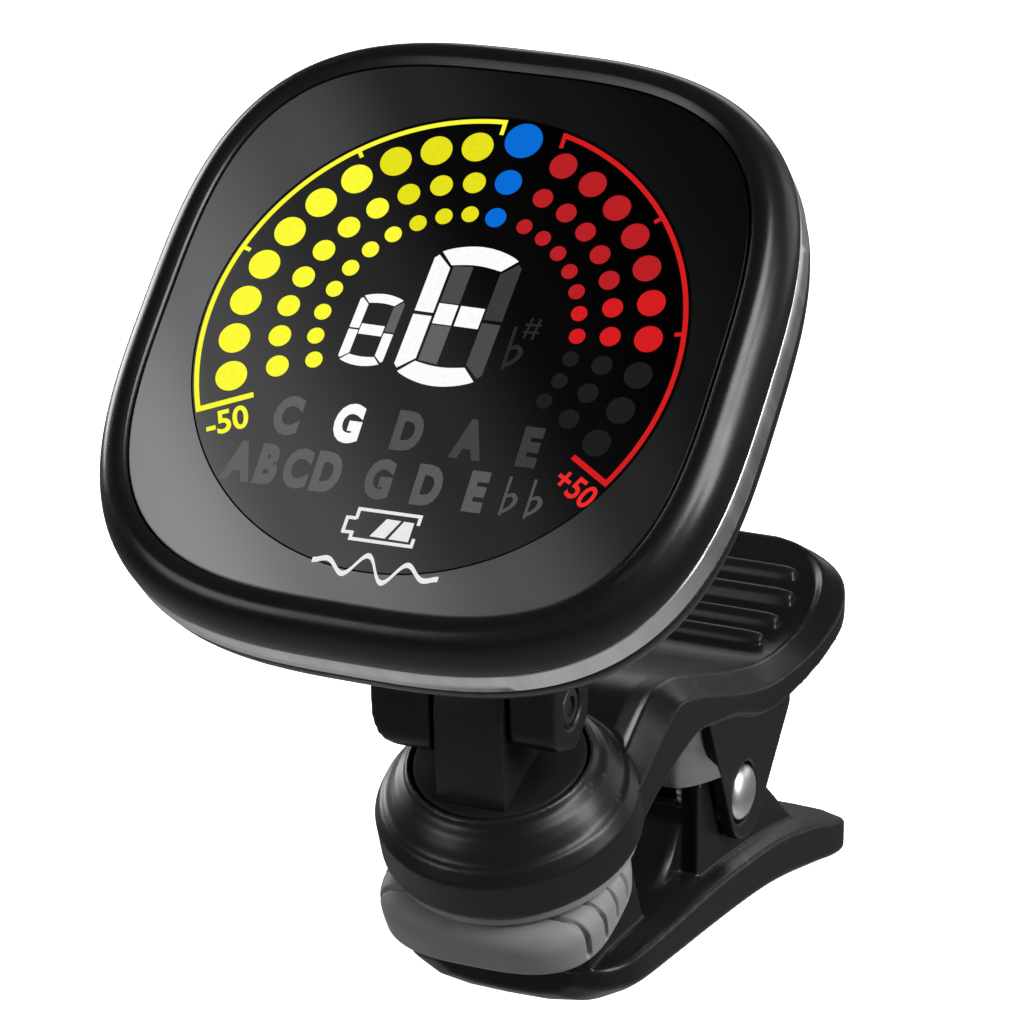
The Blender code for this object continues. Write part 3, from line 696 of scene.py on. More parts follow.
def segment_digit(left, right, bottom, top, stroke, slant, bow):
    """Named segments of a tall seven-segment digit with curved top and bottom strokes."""
    gap = stroke * 0.1
    middle = (top + bottom) / 2.0 - 0.1 * stroke
    side_low, side_high = bottom + bow, top - bow

    def at(x, y):
        return (x + slant * (y - middle), y)

    def cap(flat_y, crest_y, inner_y):
        """Bowed end stroke, cut back at both ends for an even gap."""
        outer_left, outer_wide = left + stroke * 0.3, right - left - stroke * 0.6
        inner_right, inner_wide = right - stroke - gap * 0.2, right - left - 2 * stroke - gap * 0.4
        rise = crest_y - flat_y
        outer = [at(outer_left + outer_wide * t, flat_y + rise * math.sin(math.pi * t) ** 0.8)
                 for t in np.linspace(0, 1, 21)]
        inner = [at(inner_right - inner_wide * t, inner_y + rise * 0.3 * math.sin(math.pi * t))
                 for t in np.linspace(0, 1, 13)]
        return plate(outer + inner)

    def upright(outside, inward, end, up):
        """Side stroke from the middle to an end; inward and up are 1 or -1."""
        inside = outside + inward * stroke
        return plate([at(outside, middle + up * gap), at(outside, end - up * gap * 2.0),
                      at(outside + inward * stroke * 0.2, end), at(inside, end - up * stroke * 0.66),
                      at(inside, middle + up * gap)])

    segments = {
        "top": cap(side_high + gap * 1.9, top, side_high - stroke * 0.5),
        "bottom": cap(side_low - gap * 1.9, bottom, side_low + stroke * 0.5),
        "upper_left": upright(left, 1, side_high, 1),
        "lower_left": upright(left, 1, side_low, -1),
        "upper_right": upright(right, -1, side_high, 1),
        "lower_right": upright(right, -1, side_low, -1),
    }
    return segments, at


def text_mesh(text, centre, height, turn_deg, narrow, weight):
    """Generic letters or numbers as a thin plate, with the cap height given."""
    curve = bpy.data.curves.new("ink", "FONT")
    curve.body = text
    curve.align_x = "CENTER"
    curve.size = 1.0
    curve.offset = weight
    curve.extrude = 0.5
    curve.resolution_u = 4
    obj = new_object("ink", curve, CLIP)
    bpy.context.view_layer.update()
    graph = bpy.context.evaluated_depsgraph_get()
    mesh = bpy.data.meshes.new_from_object(obj.evaluated_get(graph))
    bpy.data.objects.remove(obj)
    co = np.array([vert.co for vert in mesh.vertices])
    low, high = co.min(0), co.max(0)
    scale = height / (high[1] - low[1])
    middle = (low + high) / 2.0
    thick = (INK_HIGH - INK_LOW) / (high[2] - low[2])
    turn = math.radians(turn_deg)
    placed = []
    for point in co - middle:
        x, y = point[0] * scale * narrow, point[1] * scale
        placed.append((centre[0] + x * math.cos(turn) - y * math.sin(turn),
                       centre[1] + x * math.sin(turn) + y * math.cos(turn),
                       (INK_LOW + INK_HIGH) / 2.0 + point[2] * thick))
    for vert, place in zip(mesh.vertices, placed):
        vert.co = Vector(place) * MM
    return mesh


def flat_sign(x, y, height):
    """A flat sign: a stem with a bowl."""
    width = height * 0.36
    stem = plate([(x, y), (x + height * 0.07, y), (x + height * 0.07, y + height), (x, y + height)])
    outer = smooth_curve([(x, y), (x + width * 0.75, y + height * 0.22), (x + width, y + height * 0.45),
                          (x + width * 0.6, y + height * 0.6), (x, y + height * 0.5)], 6)
    inner = smooth_curve([(x, y + height * 0.42), (x + width * 0.5, y + height * 0.5),
                          (x + width * 0.68, y + height * 0.42), (x + width * 0.5, y + height * 0.25),
                          (x, y + height * 0.1)], 6)
    return [stem, plate([tuple(p) for p in outer] + [tuple(p) for p in inner])]


def sharp_sign(x, y, size):
    strokes = []
    for offset in (-0.18, 0.18):
        upright = (offset - 0.06, -0.5, offset + 0.06, 0.5)
        crossbar = (-0.36, offset - 0.03, 0.36, offset + 0.03)
        for x0, y0, x1, y1 in (upright, crossbar):
            start, end = (x + x0 * size, y + y0 * size), (x + x1 * size, y + y1 * size)
            strokes.append(bar(start, end, size * 0.1))
    return strokes


def ink_piece(name, meshes, material):
    obj = new_object(name, joined(name, meshes), ART)
    return finish_piece(obj, "head", material, smooth_angle=30.0)


def make_display_art():
    white = ink("ink_white", (1.0, 1.0, 1.0), 1.0)
    greys = {level: ink(f"ink_grey_{level}", (((level / 255.0) ** 2.2),) * 3, 1.0)
             for level in (34, 45, 62, 70, 78, 84, 92, 100)}
    yellow = ink("ink_yellow", (1.0, 1.0, 0.04), 1.0)
    yellow_dim = ink("ink_yellow_dim", (0.82, 0.78, 0.012), 1.0)
    red = ink("ink_red", (0.68, 0.012, 0.014), 1.0)
    red_dim = ink("ink_red_dim", (0.50, 0.014, 0.018), 1.0)
    red_bright = ink("ink_red_bright", (0.85, 0.025, 0.025), 1.0)
    blue = ink("ink_blue", (0.002, 0.155, 0.70), 1.0)
    sign = ink("ink_sign", (0.85, 0.85, 0.85), 1.0)

    ink_piece("dots_flat_top", dot_meshes(FLAT_START, FLAT_STEP, 0, 3, FLAT_SIZES), yellow_dim)
    ink_piece("dots_flat", dot_meshes(FLAT_START, FLAT_STEP, 3, DOTS_PER_SIDE, FLAT_SIZES), yellow)
    ink_piece("dots_sharp_lit_top", dot_meshes(SHARP_START, SHARP_STEP, 0, 5, SHARP_SIZES), red_dim)
    ink_piece("dots_sharp_lit", dot_meshes(SHARP_START, SHARP_STEP, 5, SHARP_LIT, SHARP_SIZES), red)
    unlit_dots = dot_meshes(SHARP_START, SHARP_STEP, SHARP_LIT, DOTS_PER_SIDE, SHARP_SIZES)
    ink_piece("dots_sharp_unlit", unlit_dots, greys[34])
    ink_piece("dots_in_tune", [disc(x, y, size) for x, y, size in IN_TUNE_DOTS], blue)

    flat_ticks, sharp_ticks = ((-11.85, 14.5), (-18.4, 4.9)), ((14.25, 12.0), (18.5, 2.5))
    ink_piece("scale_flat", scale_meshes((-0.75, 19.0), (-17.9, -9.5), flat_ticks, (-13.6, -7.5)), yellow)
    ink_piece("scale_sharp", scale_meshes((4.5, 18.6), (17.0, -10.7), sharp_ticks, (13.5, -8.75)), red)
    ink_piece("number_flat", [text_mesh("-50", (-15.0, -10.0), 2.1, 24.0, 0.94, 0.02)], yellow)
    ink_piece("number_sharp", [text_mesh("+50", (14.5, -11.25), 1.95, -28.0, 0.9, 0.02)], red_bright)

    small, _ = segment_digit(-7.72, -3.95, -3.79, 2.57, 0.8, 0.045, 0.5)
    unlit = small.pop("upper_right")
    middle = plate([(-6.79, -0.17), (-4.86, -0.17), (-4.9, -1.07), (-6.83, -1.07)])
    ink_piece("small_digit_unlit", [unlit], greys[100])
    ink_piece("small_digit", [*small.values(), middle], white)

    large, at = segment_digit(-2.9, 4.42, -4.61, 7.71, 1.55, 0.035, 1.12)
    lit = [large[key] for key in ("top", "bottom", "upper_left", "lower_left")]
    for low, high in ((-1.11, 0.47), (0.71, 2.71)):
        lit.append(plate([at(low, 0.67), at(high, 0.67), at(high, 2.45), at(low, 2.45)]))
    ink_piece("large_digit", lit, white)
    column_high = plate([at(-1.1, 2.57), at(0.5, 2.57), at(0.5, 5.9), at(-1.1, 5.75)])
    column_low = plate([at(-1.1, 0.55), at(0.5, 0.55), at(0.5, -2.75), at(-1.1, -2.6)])
    ink_piece("large_digit_unlit_right", [large["upper_right"]], greys[62])
    ink_piece("large_digit_unlit_high", [large["lower_right"], column_high], greys[78])
    ink_piece("large_digit_unlit_low", [column_low], greys[100])

    ink_piece("accidentals", [*flat_sign(5.57, -2.43, 3.75), *sharp_sign(7.03, 1.33, 1.8)], greys[45])
    columns = ((-10.2, -8.8, 100), (-5.1, -8.72, 0), (-0.05, -8.65, 84), (5.0, -8.58, 70), (9.95, -8.5, 62))
    for index, (letter, (x, y, level)) in enumerate(zip("CGDAE", columns)):
        shade = greys[level] if level else white
        ink_piece(f"note_{index}", [text_mesh(letter, (x, y), 3.4, 1.0, 0.74, 0.06)], shade)
    row = (("A", -12.8), ("B", -10.4), ("C", -7.95), ("D", -5.4), ("G", -1.1), ("D", 2.95), ("E", 6.9))
    letters = [text_mesh(letter, (x, -13.17 + 0.02 * (x + 12.8)), 3.45, 1.0, 0.7, 0.06) for letter, x in row]
    ink_piece("tuning_row_left", letters[:4], greys[100])
    ink_piece("tuning_row_right", letters[4:], greys[92])
    ink_piece("tuning_flats", [*flat_sign(9.15, -14.4, 3.3), *flat_sign(11.15, -14.35, 3.3)], greys[84])

    top, low, left, right, thick = -15.6, -18.12, -1.8, 3.25, 0.27
    lines = (((left - 0.13, top), (right + 0.13, top + 0.1)), ((left - 0.13, low), (right + 0.13, low + 0.1)),
             ((right, top + 0.1), (right, top - 0.65)), ((right, low + 0.75), (right, low + 0.1)),
             ((left, top), (left, top - 0.85)), ((left, low + 0.65), (left, low)),
             ((left, top - 0.8), (left - 0.85, top - 0.83)), ((left, low + 0.52), (left - 0.85, low + 0.49)),
             ((left - 0.75, top - 0.75), (left - 0.75, low + 0.42)))
    body = [bar(start, end, thick) for start, end in lines]
    charge = [plate([(-0.3, -17.7), (0.95, -17.7), (1.8, -16.1), (0.63, -16.1)]),
              plate([(1.25, -17.7), (2.88, -17.7), (2.88, -16.1), (2.05, -16.1)])]
    ink_piece("battery_sign", body + charge, sign)

    wave_top, wave_low = [], []
    for t in np.linspace(0.0, 1.0, 61):
        x = -4.2 + 10.4 * t
        y = -20.3 + 1.05 * math.sin(6.0 * math.pi * t) * math.sin(math.pi * t)
        wave_top.append((x, y + 0.22))
        wave_low.append((x, y - 0.22))
    ink_piece("wave_sign", [plate(wave_top + wave_low[::-1])], sign)


# ---------------------------------------------------------------- neck

def make_neck(material):
    """Turntable flush with the boss ring, and the tapered post that stands on it."""
    disc_top = 9.5
    profile = [(0.0, disc_top), (6.9, disc_top), (7.1, disc_top - 0.06), (7.18, disc_top - 0.2), (7.18, 7.4),
               (0.0, 7.4)]
    table = new_object("turntable", turned("turntable", profile, ends="open"), CLAMP)
    finish_piece(table, "swivel", material, smooth_angle=30.0)
    base, hinge = disc_top + 0.03, TILT_HEIGHT
    side = fillet([(-6.1, base), (6.1, base), (3.95, hinge + 0.6, 0.6), (2.4, hinge + 3.9, 1.8),
                   (-2.4, hinge + 3.9, 1.8), (-3.95, hinge + 0.6, 0.6)], 8)
    post = new_object("post", prism("post", side, -3.05, 3.05), CLAMP)
    bevel(post, 0.14, 3)
    return finish_piece(post, "swivel", material, ["swivel_post"], 35.0)


# ---------------------------------------------------------------- upper jaw

def boss_mesh():
    """Round boss: a thin ring round the turntable, a deep dished slope, a shoulder and a chamfer."""
    corners = [
        (4.3, 1.5), (4.3, 4.0), (1.9, 4.0), (1.9, 7.0), (7.45, 7.0), (7.45, 9.55, 0.1), (7.75, 9.5, 0.1),
        (8.05, 8.85, 0.4), (8.75, 8.35, 0.8), (9.35, 7.5, 0.9), (9.9, 6.55, 0.4), (10.35, 6.35, 0.12),
        (BOSS_RADIUS, 5.15, 0.2), (BOSS_RADIUS, 1.75, 0.2), (10.75, 1.5),
    ]
    return turned("boss", fillet(corners, 5), 160)


def arm_mesh():
    """Arm and grip: stations of y, half width, flange bottom, crease, crest, underside, dish, pocket."""
    stations = [
        (0.5, 10.5, 2.2, 5.6, 6.4, 3.2, 1.6, 0.0), (3.0, 10.5, 2.9, 6.7, 7.9, 4.2, 1.6, 0.0),
        (5.5, 10.5, 3.9, 7.9, 9.4, 5.4, 1.5, 0.0), (8.3, 10.5, 4.7, 9.3, 10.8, 7.0, 1.2, 0.0),
        (10.7, 10.5, 5.3, 9.9, 11.2, 8.2, 0.8, 0.0), (14.6, 10.5, 5.8, 9.0, 10.6, 8.2, 0.35, 0.0),
        (19.0, 10.5, 5.0, 7.5, 9.1, 6.8, 0.05, 0.0), (24.0, 10.5, 3.8, 5.7, 7.3, 5.0, 0.0, 0.0),
        (29.0, 10.5, 1.9, 4.2, 5.8, 3.6, 0.2, 0.0), (33.0, 10.6, 1.1, 3.4, 4.8, 2.7, 0.3, 0.15),
        (37.0, 10.8, 1.1, 3.2, 4.3, 2.4, 0.1, 0.55), (41.0, 11.0, 1.4, 3.3, 4.3, 2.5, 0.0, 0.7),
        (45.0, 11.2, 2.1, 3.9, 4.8, 3.0, 0.0, 0.7), (48.5, 11.1, 3.0, 4.9, 5.8, 4.0, 0.0, 0.7),
        (51.5, 10.2, 4.1, 5.9, 6.8, 5.0, 0.0, 0.7), (53.6, 8.6, 4.9, 6.6, 7.5, 5.7, 0.0, 0.35),
        (55.2, 6.2, 5.5, 7.1, 7.9, 6.2, 0.0, 0.0), (56.0, 4.0, 5.9, 7.3, 8.0, 6.5, 0.0, 0.0),
    ]
    loops = []
    for y, half, bottom, crease, crest, under, dish, pocket in smooth_curve(stations, 7):
        inner = half - 1.6
        floor = crest - pocket
        right = [(0.0, under), (inner * 0.5, under), (inner, under), (inner, bottom), (half, bottom),
                 (half, crease), (half - 2.2, crest), (half - 2.9, floor - dish * 0.35),
                 (half - 4.4, floor - dish * 0.75), ((half - 4.4) * 0.5, floor - dish), (0.0, floor - dish)]
        left = [(-x, z) for x, z in reversed(right[1:-1])]
        loops.append([(x, y, z) for x, z in right + left])
    return skin("arm", loops)


def grip_floor(y):
    return 3.7 + max(0.0, y - 42.5) * 0.26


def ridge_mesh(y, half):
    """One grip ridge: a low rib with round ends that leans back."""
    base = grip_floor(y)
    steps = 24
    loops = []
    for t in np.linspace(-1.0, 1.0, steps + 1):
        swell = math.sqrt(max(0.0, 1.0 - abs(t) ** 10))
        x = half * t
        loops.append([(x, y - 0.95 * swell, base - 0.6), (x, y + 1.0 * swell, base - 0.4),
                      (x, y + 0.75 * swell, base + 0.85 * swell), (x, y + 0.1, base + 0.95 * swell),
                      (x, y - 0.5 * swell, base + 0.55 * swell)])
    return skin("ridge", loops[1:-1])


def make_upper_jaw(material):
    arm = shaped("arm", arm_mesh(), [rotated(rod("space", 9.6, -2.0, 20.0, "Z", (0.0, 0.0), 96), CLAMP)])
    ear_outline = fillet([(18.2, 6.0), (25.7, -9.4, 3.4), (30.2, -9.4, 3.4), (38.3, -0.6), (38.3, 2.0)], 10)
    solids = [arm, rotated(boss_mesh(), CLAMP)]
    for low, high in ((EAR_INNER, EAR_OUTER), (-EAR_OUTER, -EAR_INNER)):
        hole = rod("hole", 2.8, -12.0, 12.0, "X", (PIVOT.y, PIVOT.z))
        solids.append(shaped("ear", prism("ear", ear_outline, low, high), [hole]))
    for y, half in ((40.5, 6.9), (44.2, 7.0), (47.9, 7.0), (51.3, 5.9)):
        solids.append(ridge_mesh(y, half))
    obj = moulding("upper_jaw_moulding", solids, CLIP, 0.17, 2)
    return finish_piece(obj, "upper_jaw", material, ["upper_jaw"], 60.0)


# ---------------------------------------------------------------- lower jaw

def plate_mesh():
    """Boat-shaped base: stations of y, half width, rim top, rim bottom, keel, crown."""
    stations = [
        (-2.5, 6.4, -9.7, -11.1, -12.4, -9.6), (-1.5, 8.6, -9.6, -11.4, -13.2, -9.5),
        (0.3, 9.8, -9.5, -11.7, -13.9, -9.3), (2.8, 10.35, -9.6, -12.1, -14.3, -9.3),
        (10.0, 10.4, -10.2, -13.0, -14.7, -9.6), (20.0, 10.4, -10.9, -14.2, -15.3, -10.0),
        (30.0, 10.4, -12.1, -15.6, -16.4, -11.2), (37.0, 10.4, -13.3, -17.0, -17.6, -12.4),
        (44.5, 10.5, -15.3, -18.9, -19.3, -14.1), (49.9, 10.6, -17.1, -20.3, -20.5, -16.2),
        (52.9, 10.3, -18.0, -20.8, -20.9, -17.3), (54.5, 8.6, -18.7, -20.9, -21.0, -18.2),
    ]
    loops = []
    for y, half, rim_top, rim_bottom, keel, crown in smooth_curve(stations, 6):
        right = [(0.0, keel), (half * 0.4, keel + 0.08), (half * 0.72, keel * 0.72 + rim_bottom * 0.28),
                 (half - 0.9, keel * 0.25 + rim_bottom * 0.75), (half - 0.15, rim_bottom),
                 (half, rim_bottom + 0.3), (half, rim_top - 0.15), (half - 0.3, rim_top + 0.12),
                 (half - 1.1, rim_top * 0.55 + crown * 0.45), (half - 2.3, rim_top * 0.15 + crown * 0.85),
                 (half * 0.5, crown), (0.0, crown)]
        left = [(-x, z) for x, z in reversed(right[1:-1])]
        loops.append([(x, y, z) for x, z in right + left])
    return skin("plate", loops)


def scoop_mesh():
    """Concave ramp that climbs from the floor between the hinge walls."""
    top, front, back, radius = -3.2, 14.0, 21.2, 6.0
    centre_y, centre_z = 20.1 - radius, -9.7 + radius
    loops = []
    for y in np.linspace(front, back, 34):
        reach = min(max(y - centre_y, 0.0), radius)
        height = min(centre_z - math.sqrt(radius ** 2 - reach ** 2), top)
        right = [(WALL_INNER, -12.5), (WALL_INNER, height - 0.35), (WALL_INNER - 0.6, height),
                 (0.0, height - 0.1)]
        loops.append([(x, y, z) for x, z in right + [(-x, z) for x, z in reversed(right[:-1])]])
    return skin("scoop", loops)


def make_lower_jaw(material):
    lean_slope = -CLAMP_AXIS.y / CLAMP_AXIS.z
    seat_z = (PAD_BOTTOM - 0.15) * CLAMP_AXIS.z
    seat_y = (PAD_BOTTOM - 0.15) * CLAMP_AXIS.y

    def seat(y):
        return seat_z + (y - seat_y) * lean_slope

    block = fillet([(-2.0, -11.0), (-2.0, seat(-2.0)), (5.6, seat(5.6)), (7.0, seat(5.6) - 0.8, 1.2),
                    (9.5, -9.4, 2.0), (12.0, -11.0)], 6)
    wall = fillet([(20.0, -12.5), (20.0, -1.8, 0.8), (22.4, -0.2, 1.0), (30.2, -0.2, 3.6), (35.9, -7.7, 1.5),
                   (44.4, -14.9), (42.0, -17.0)], 6)
    solids = [plate_mesh(), prism("seat", block, -7.6, 7.6), scoop_mesh()]
    for low, high in ((WALL_INNER, WALL_OUTER), (-WALL_OUTER, -WALL_INNER)):
        hole = rod("hole", 1.8, -12.0, 12.0, "X", (PIVOT.y, PIVOT.z))
        solids.append(shaped("wall", prism("wall", wall, low, high), [hole]))
    obj = moulding("lower_jaw_moulding", solids, CLIP, 0.18, 3)
    return finish_piece(obj, "lower_jaw", material, ["lower_jaw"], 60.0)


# ---------------------------------------------------------------- pads

PAD_HALF, PAD_CENTRE, PAD_POWER = (10.05, 8.2), -2.85, 3.0
PAD_BOTTOM = -4.5
GROOVES = (-7.6, -5.3, -3.0, -0.7, 1.6)


def make_lower_pad(material):
    """Thick pad with a rounded-square plan, soft edges and grooves over its top and down its sides."""
    fine = superellipse(*PAD_HALF, PAD_POWER, 2400)
    step = np.concatenate([[0.0], np.cumsum(np.linalg.norm(np.diff(fine, axis=0), axis=1))])
    even = np.linspace(0.0, step[-1], 640, endpoint=False)
    fine = np.stack([np.interp(even, step, fine[:, 0]), np.interp(even, step, fine[:, 1])], -1)
    fine[:, 1] += PAD_CENTRE
    tangent = np.roll(fine, -1, 0) - np.roll(fine, 1, 0)
    inward = np.stack([-tangent[:, 1], tangent[:, 0]], -1)
    inward /= np.linalg.norm(inward, axis=1)[:, None]
    round_top, round_low, foot = 1.9, 0.7, 0.15
    rings = [(2.2, PAD_BOTTOM), (foot + round_low, PAD_BOTTOM)]
    rings += [(foot + round_low * (1 - math.sin(a)), PAD_BOTTOM + round_low * (1 - math.cos(a)))
              for a in np.linspace(0.1, math.pi / 2, 6)]
    side_low, side_high = PAD_BOTTOM + round_low, -round_top - 0.1
    rings += [(foot * (1 - t) ** 1.5, side_low + (side_high - side_low) * t)
              for t in np.linspace(0.1, 1.0, 7)]
    rings += [(round_top * (1 - math.cos(a)), -round_top * (1 - math.sin(a)))
              for a in np.linspace(0.1, math.pi / 2, 14)]
    rings += [(inset, 0.0) for inset in (2.1, 2.3, 2.5)]
    loops = []
    rings = [(fine + inward * inset, inset, height) for inset, height in rings]
    core, core_inset, _ = rings[-1]
    middle = np.array([0.0, PAD_CENTRE])
    rings += [(middle + (core - middle) * shrink, core_inset, 0.0) for shrink in np.linspace(0.98, 0.02, 60)]
    for ring, inset, height in rings:
        groove = np.zeros(len(ring))
        for place in GROOVES:
            groove = np.maximum(groove, np.exp(-((ring[:, 1] - place) / 0.2) ** 4))
        reach = np.clip((height - PAD_BOTTOM - 0.5) / 0.5, 0.0, 1.0)
        depth = 0.5 * groove * reach
        sink = min(1.0, max(0.0, inset / round_top)) if height > -round_top else 0.0
        inner = ring + inward * (depth * (1.0 - sink))[:, None]
        loops.append(np.column_stack([inner, height - depth * sink]))
    mesh = skin("pad", loops, "open")
    obj = new_object("lower_pad_rubber", mesh, CLAMP)
    close_ends(obj)
    return finish_piece(obj, "lower_jaw", material, ["lower_pad"], 50.0)


def close_ends(obj):
    bm = bmesh.new()
    bm.from_mesh(obj.data)
    rims = [edge for edge in bm.edges if edge.is_boundary]
    bmesh.ops.holes_fill(bm, edges=rims, sides=0)
    bmesh.ops.recalc_face_normals(bm, faces=bm.faces)
    bm.to_mesh(obj.data)
    bm.free()


def make_upper_pad(material):
    corners = [(0.0, 1.25), (10.55, 1.25, 0.15), (10.45, 0.35, 0.35), (0.0, 0.35)]
    obj = new_object("upper_pad_rubber", turned("pad", fillet(corners, 6), 128, "open"), CLAMP)
    return finish_piece(obj, "upper_jaw", material, ["upper_pad"], 40.0)


# ---------------------------------------------------------------- axle and spring

def make_rivet(material):
    """Axle rivet with a domed head outside each ear."""
    head, dome, steps = 2.5, 1.05, 10
    half = [(head * math.sin(a), EAR_OUTER - 0.35 + dome * math.cos(a))
            for a in np.linspace(0.0, math.pi / 2, steps)]
    half += [(head, 9.0), (1.5, 8.8)]
    profile = half + [(r, -x) for r, x in reversed(half)]
    matrix = Matrix.Translation(PIVOT * MM) @ Matrix.Rotation(math.radians(90.0), 4, "Y")
    obj = new_object("axle_rivet", turned("rivet", profile, 64, "open"), matrix)
    return finish_piece(obj, "lower_jaw", material, ["pivot_pin"], 50.0)


def make_spring(material):
    """Bent sheet spring: a leg under the grip, a flared skirt before the axle, a leg on the lower jaw.

    Stations are y, height, half width, how far the sides curl back and how far they lift.
    """
    stations = [(38.0, 1.3, 5.5, 0.0, 0.0), (33.0, 1.9, 5.5, 0.0, 0.0), (29.0, 2.8, 5.6, 0.0, 0.0),
                (26.0, 4.0, 6.4, 0.0, 0.0), (23.6, 5.2, 7.6, 0.1, 0.0), (21.9, 5.6, 8.2, 0.3, 0.0),
                (20.8, 5.0, 8.4, 0.5, 0.0), (20.2, 3.8, 8.6, 0.9, 0.0), (19.8, 2.4, 8.9, 1.3, 0.0),
                (19.4, 0.6, 9.3, 1.8, 0.2), (19.0, -1.7, 9.9, 2.3, 0.7)]
    rows = []
    for y, z, half, turn, lift in smooth_curve(stations, 6):
        across = np.linspace(-1.0, 1.0, 49)
        bend = np.clip((np.abs(across) - 0.66) / 0.34, 0.0, 1.0) ** 1.6
        rows.append([(half * u, y + turn * side, z + lift * side) for u, side in zip(across, bend)])
    sheet = grid("skirt", rows)
    tongue_line = [(20.2, -1.2), (20.9, -2.0), (21.9, -2.6), (22.5, -4.6), (23.0, -7.6), (24.8, -9.3),
                   (28.0, -10.2), (33.0, -11.2)]
    tongue_rows = [[(5.4 * u, y, z) for u in np.linspace(-1.0, 1.0, 9)]
                   for y, z in smooth_curve(tongue_line, 6)]
    tongue = grid("tongue", tongue_rows)
    for name, mesh, nodes in (("spring_skirt", sheet, ["clip_spring"]), ("spring_tongue", tongue, [])):
        obj = new_object(name, mesh, CLIP)
        solid = obj.modifiers.new("sheet", "SOLIDIFY")
        solid.thickness = 0.35 * MM
        solid.offset = 0.0
        bake(obj)
        obj.data.materials.clear()
        obj.data.materials.append(material)
        obj.data.shade_smooth()
        obj.data.set_sharp_from_angle(angle=math.radians(50.0))
        if nodes:
            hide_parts(*nodes)
            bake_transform(obj)
        else:
            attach(obj, "lower_jaw")


def grid(name, rows):
    """An open sheet from rows of points."""
    count = len(rows[0])
    verts = [tuple(point) for row in rows for point in row]
    faces = []
    for row in range(len(rows) - 1):
        for index in range(count - 1):
            start = row * count + index
            faces.append((start, start + 1, start + count + 1, start + count))
    return make_mesh(name, verts, faces)


# ---------------------------------------------------------------- finish of the frame's own nodes

def dress_nodes():
    """Materials for the CAD nodes that stay."""
    fastener = polished_metal("plated_steel", (0.62, 0.62, 0.63), 0.22, 0.4, (1.0, 1.0, 6.0))
    # blackened steel for the hinge screw and nut, made near-black so they also carry painted shade for their
    # deep wells
    blackened_and_well_shade = plain_part("blackened_steel_well_shade", (0.004, 0.004, 0.004), 0.5)
    foam = plain_part("foam", (0.02, 0.02, 0.02), 0.8)
    panel = plain_part("panel_glass", (0.01, 0.01, 0.012), 0.2)
    acrylic = plain_part("acrylic", (0.8, 0.82, 0.84), 0.15)
    board = plain_part("board", (0.015, 0.10, 0.04), 0.4)
    chip = plain_part("chip", (0.02, 0.02, 0.02), 0.5)
    foil = plain_part("cell_foil", (0.55, 0.56, 0.58), 0.35, 0.7)
    brass = plain_part("sensor_brass", (0.65, 0.48, 0.2), 0.3, 1.0)
    led = plain_part("led_package", (0.85, 0.85, 0.8), 0.3)
    button = moulded_plastic("button_black", (0.012, 0.012, 0.013), (0.05, 0.05, 0.05), 0.22, 0.32, 0.05)
    looks = (
        (fastener, "swivel_screw swivel_washer case_screw_1 case_screw_2 case_screw_3 case_screw_4"),
        (fastener, "tact_switch_power tact_switch_mode usb_socket"), (blackened_and_well_shade, "hinge_screw hinge_nut"),
        (foam, "lcd_gasket"), (panel, "lcd_panel"), (acrylic, "light_guide"), (board, "circuit_board"),
        (chip, "main_chip"), (foil, "battery_cell"), (brass, "piezo_disc"),
        (button, "power_button mode_button"), (led, "backlight_led_left backlight_led_right"),
    )
    for material, names in looks:
        for name in names.split():
            mesh = frame["nodes"][name].data
            mesh.materials.clear()
            mesh.materials.append(material)


# ---------------------------------------------------------------- studio

def add_area(name, location, target, size, power):
    data = bpy.data.lights.new(name, "AREA")
    data.shape = "RECTANGLE"
    data.size, data.size_y = size
    data.energy = power
    light = bpy.data.objects.new(name, data)
    bpy.context.scene.collection.objects.link(light)
    light.location = location
    light.rotation_euler = (Vector(target) - Vector(location)).to_track_quat("-Z", "Y").to_euler()


DOME_STOPS = ((0.0, 0.6), (0.14, 0.5), (0.27, 0.13), (0.45, 0.11), (0.51, 0.32), (0.58, 0.13), (0.72, 0.05),
              (1.0, 0.01))      # from straight down to straight up


def add_world():
    """White to look at; as a light it is a soft grey dome, brighter at the horizon and dim below."""
    world = bpy.data.worlds.new("studio")
    bpy.context.scene.world = world
    world.use_nodes = True
    tree = world.node_tree
    seen = tree.nodes["Background"]
    seen.inputs["Color"].default_value = (1.0, 1.0, 1.0, 1.0)
    dome = tree.nodes.new("ShaderNodeBackground")
    ramp = tree.nodes.new("ShaderNodeValToRGB")
    set_stops(ramp.color_ramp, DOME_STOPS)
    split = tree.nodes.new("ShaderNodeSeparateXYZ")
    height = tree.nodes.new("ShaderNodeMapRange")
    height.inputs["From Min"].default_value = -1.0
    path = tree.nodes.new("ShaderNodeLightPath")
    mix = tree.nodes.new("ShaderNodeMixShader")
    tree.links.new(tree.nodes.new("ShaderNodeTexCoord").outputs["Generated"], split.inputs["Vector"])
    tree.links.new(split.outputs["Z"], height.inputs["Value"])
    tree.links.new(height.outputs["Result"], ramp.inputs["Fac"])
    tree.links.new(ramp.outputs["Color"], dome.inputs["Color"])
    tree.links.new(path.outputs["Is Camera Ray"], mix.inputs["Fac"])
    tree.links.new(dome.outputs["Background"], mix.inputs[1])
    tree.links.new(seen.outputs["Background"], mix.inputs[2])
    tree.links.new(mix.outputs["Shader"], tree.nodes["World Output"].inputs["Surface"])


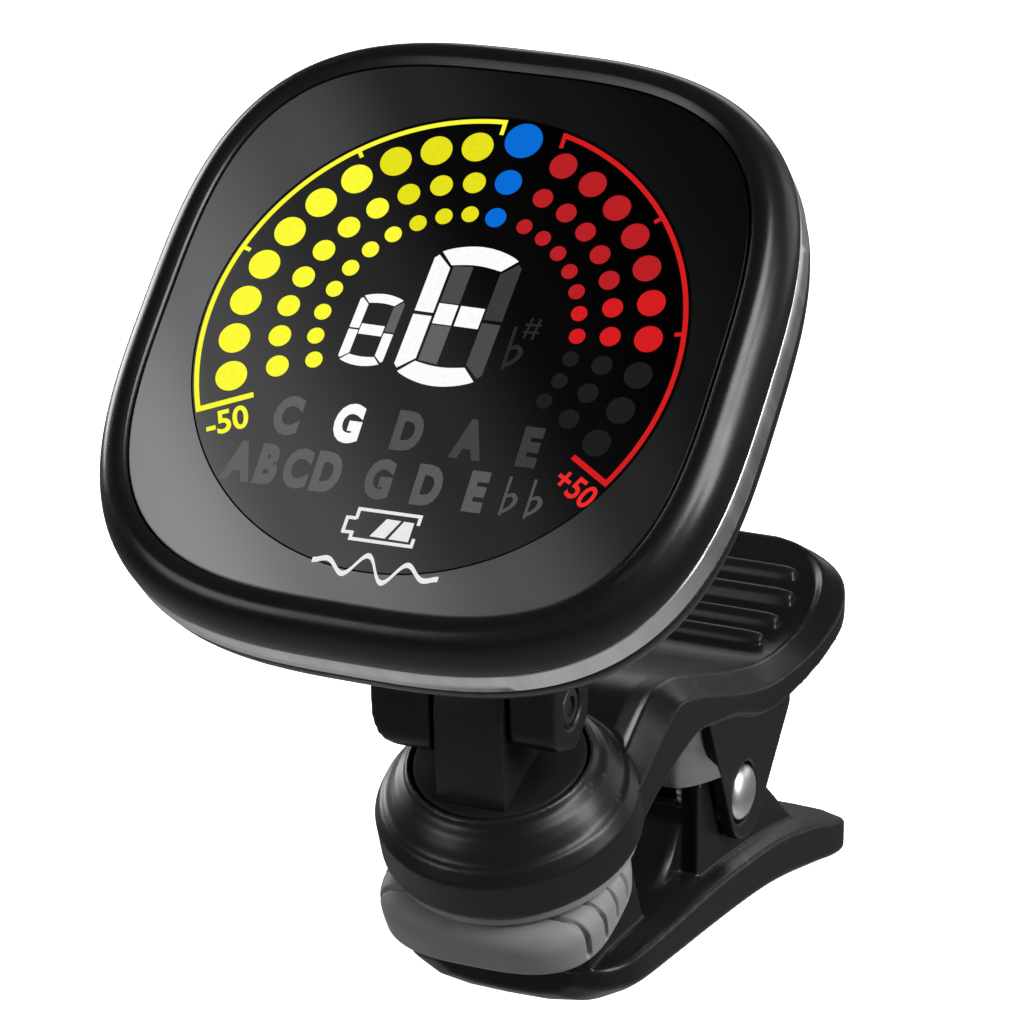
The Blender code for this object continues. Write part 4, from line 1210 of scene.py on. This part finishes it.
def add_floor():
    """Pale floor that reads as white; it stays out of the object's reflections."""
    top, half = CAD_BOX[0][2] / MM - 0.2, 1500.0
    corners = [(-half, -half), (half, -half), (half, half), (-half, half)]
    floor = new_object("floor", prism("floor", corners, top - 5.0, top, "Z"), CLIP)
    nodes = Nodes("pale_floor")
    nodes.colour(nodes.mix(nodes.ramp(nodes.noise(30.0), 0.0, 1.0), (0.90, 0.90, 0.90), (0.93, 0.93, 0.93)))
    nodes.set(Roughness=0.9, Specular_IOR_Level=0.0)
    nodes.set(Emission_Color=(1.0, 1.0, 1.0, 1.0), Emission_Strength=0.9)
    floor.data.materials.append(nodes.material)
    floor.visible_glossy = False
    floor.visible_diffuse = False


def add_studio():
    """Soft boxes: on the right for the head's right edge, behind for the rims, front left for the rubber."""
    aim = (0.0, 0.0, 0.03)
    add_area("right_high", (0.62, -0.12, 0.62), aim, (0.30, 0.55), 9.0)
    add_area("right_side", (0.88, 0.08, 0.36), aim, (0.20, 0.35), 5.0)
    add_area("back_left", (-0.80, 0.36, 0.20), aim, (0.35, 0.5), 4.0)
    add_area("back_high", (-0.15, 0.88, 0.30), aim, (0.5, 0.2), 0.6)
    add_area("back_right", (0.50, 0.80, 0.20), aim, (0.5, 0.4), 0.6)
    add_area("front_left", (-0.60, -0.80, 0.30), aim, (0.5, 0.5), 4.0)
    add_world()
    add_floor()
    bpy.context.scene.view_settings.view_transform = "Standard"


# ---------------------------------------------------------------- build

add_camera()
BLACK = moulded_plastic("black_satin", (0.005, 0.005, 0.0053), (0.02, 0.02, 0.0205), 0.30, 0.38)
BLACK_BEZEL = moulded_plastic("black_bezel", (0.005, 0.005, 0.0053), (0.012, 0.012, 0.012), 0.24, 0.30, 0.05)
RUBBER = rubber("pad_rubber", (0.15, 0.15, 0.15))
RIVET_STEEL = polished_metal("rivet_steel", (0.74, 0.74, 0.75), 0.32, 0.40, (1.0, 1.0, 0.3), 0.02)
SILVER = polished_metal("satin_band", (0.60, 0.60, 0.61), 0.28, 0.42, (1.0, 1.0, 0.05), 0.04)
STEEL = polished_metal("polished_sheet", (0.62, 0.62, 0.63), 0.20, 0.30, (0.2, 1.0, 1.0), 0.02)

make_bezel(BLACK_BEZEL)
make_lens(lens_material())
make_trim(SILVER)
make_cover(BLACK)
make_display_art()
make_neck(BLACK)
make_upper_jaw(BLACK)
make_lower_jaw(BLACK)
make_lower_pad(RUBBER)
make_upper_pad(RUBBER)
make_rivet(RIVET_STEEL)
make_spring(STEEL)
dress_nodes()
add_studio()
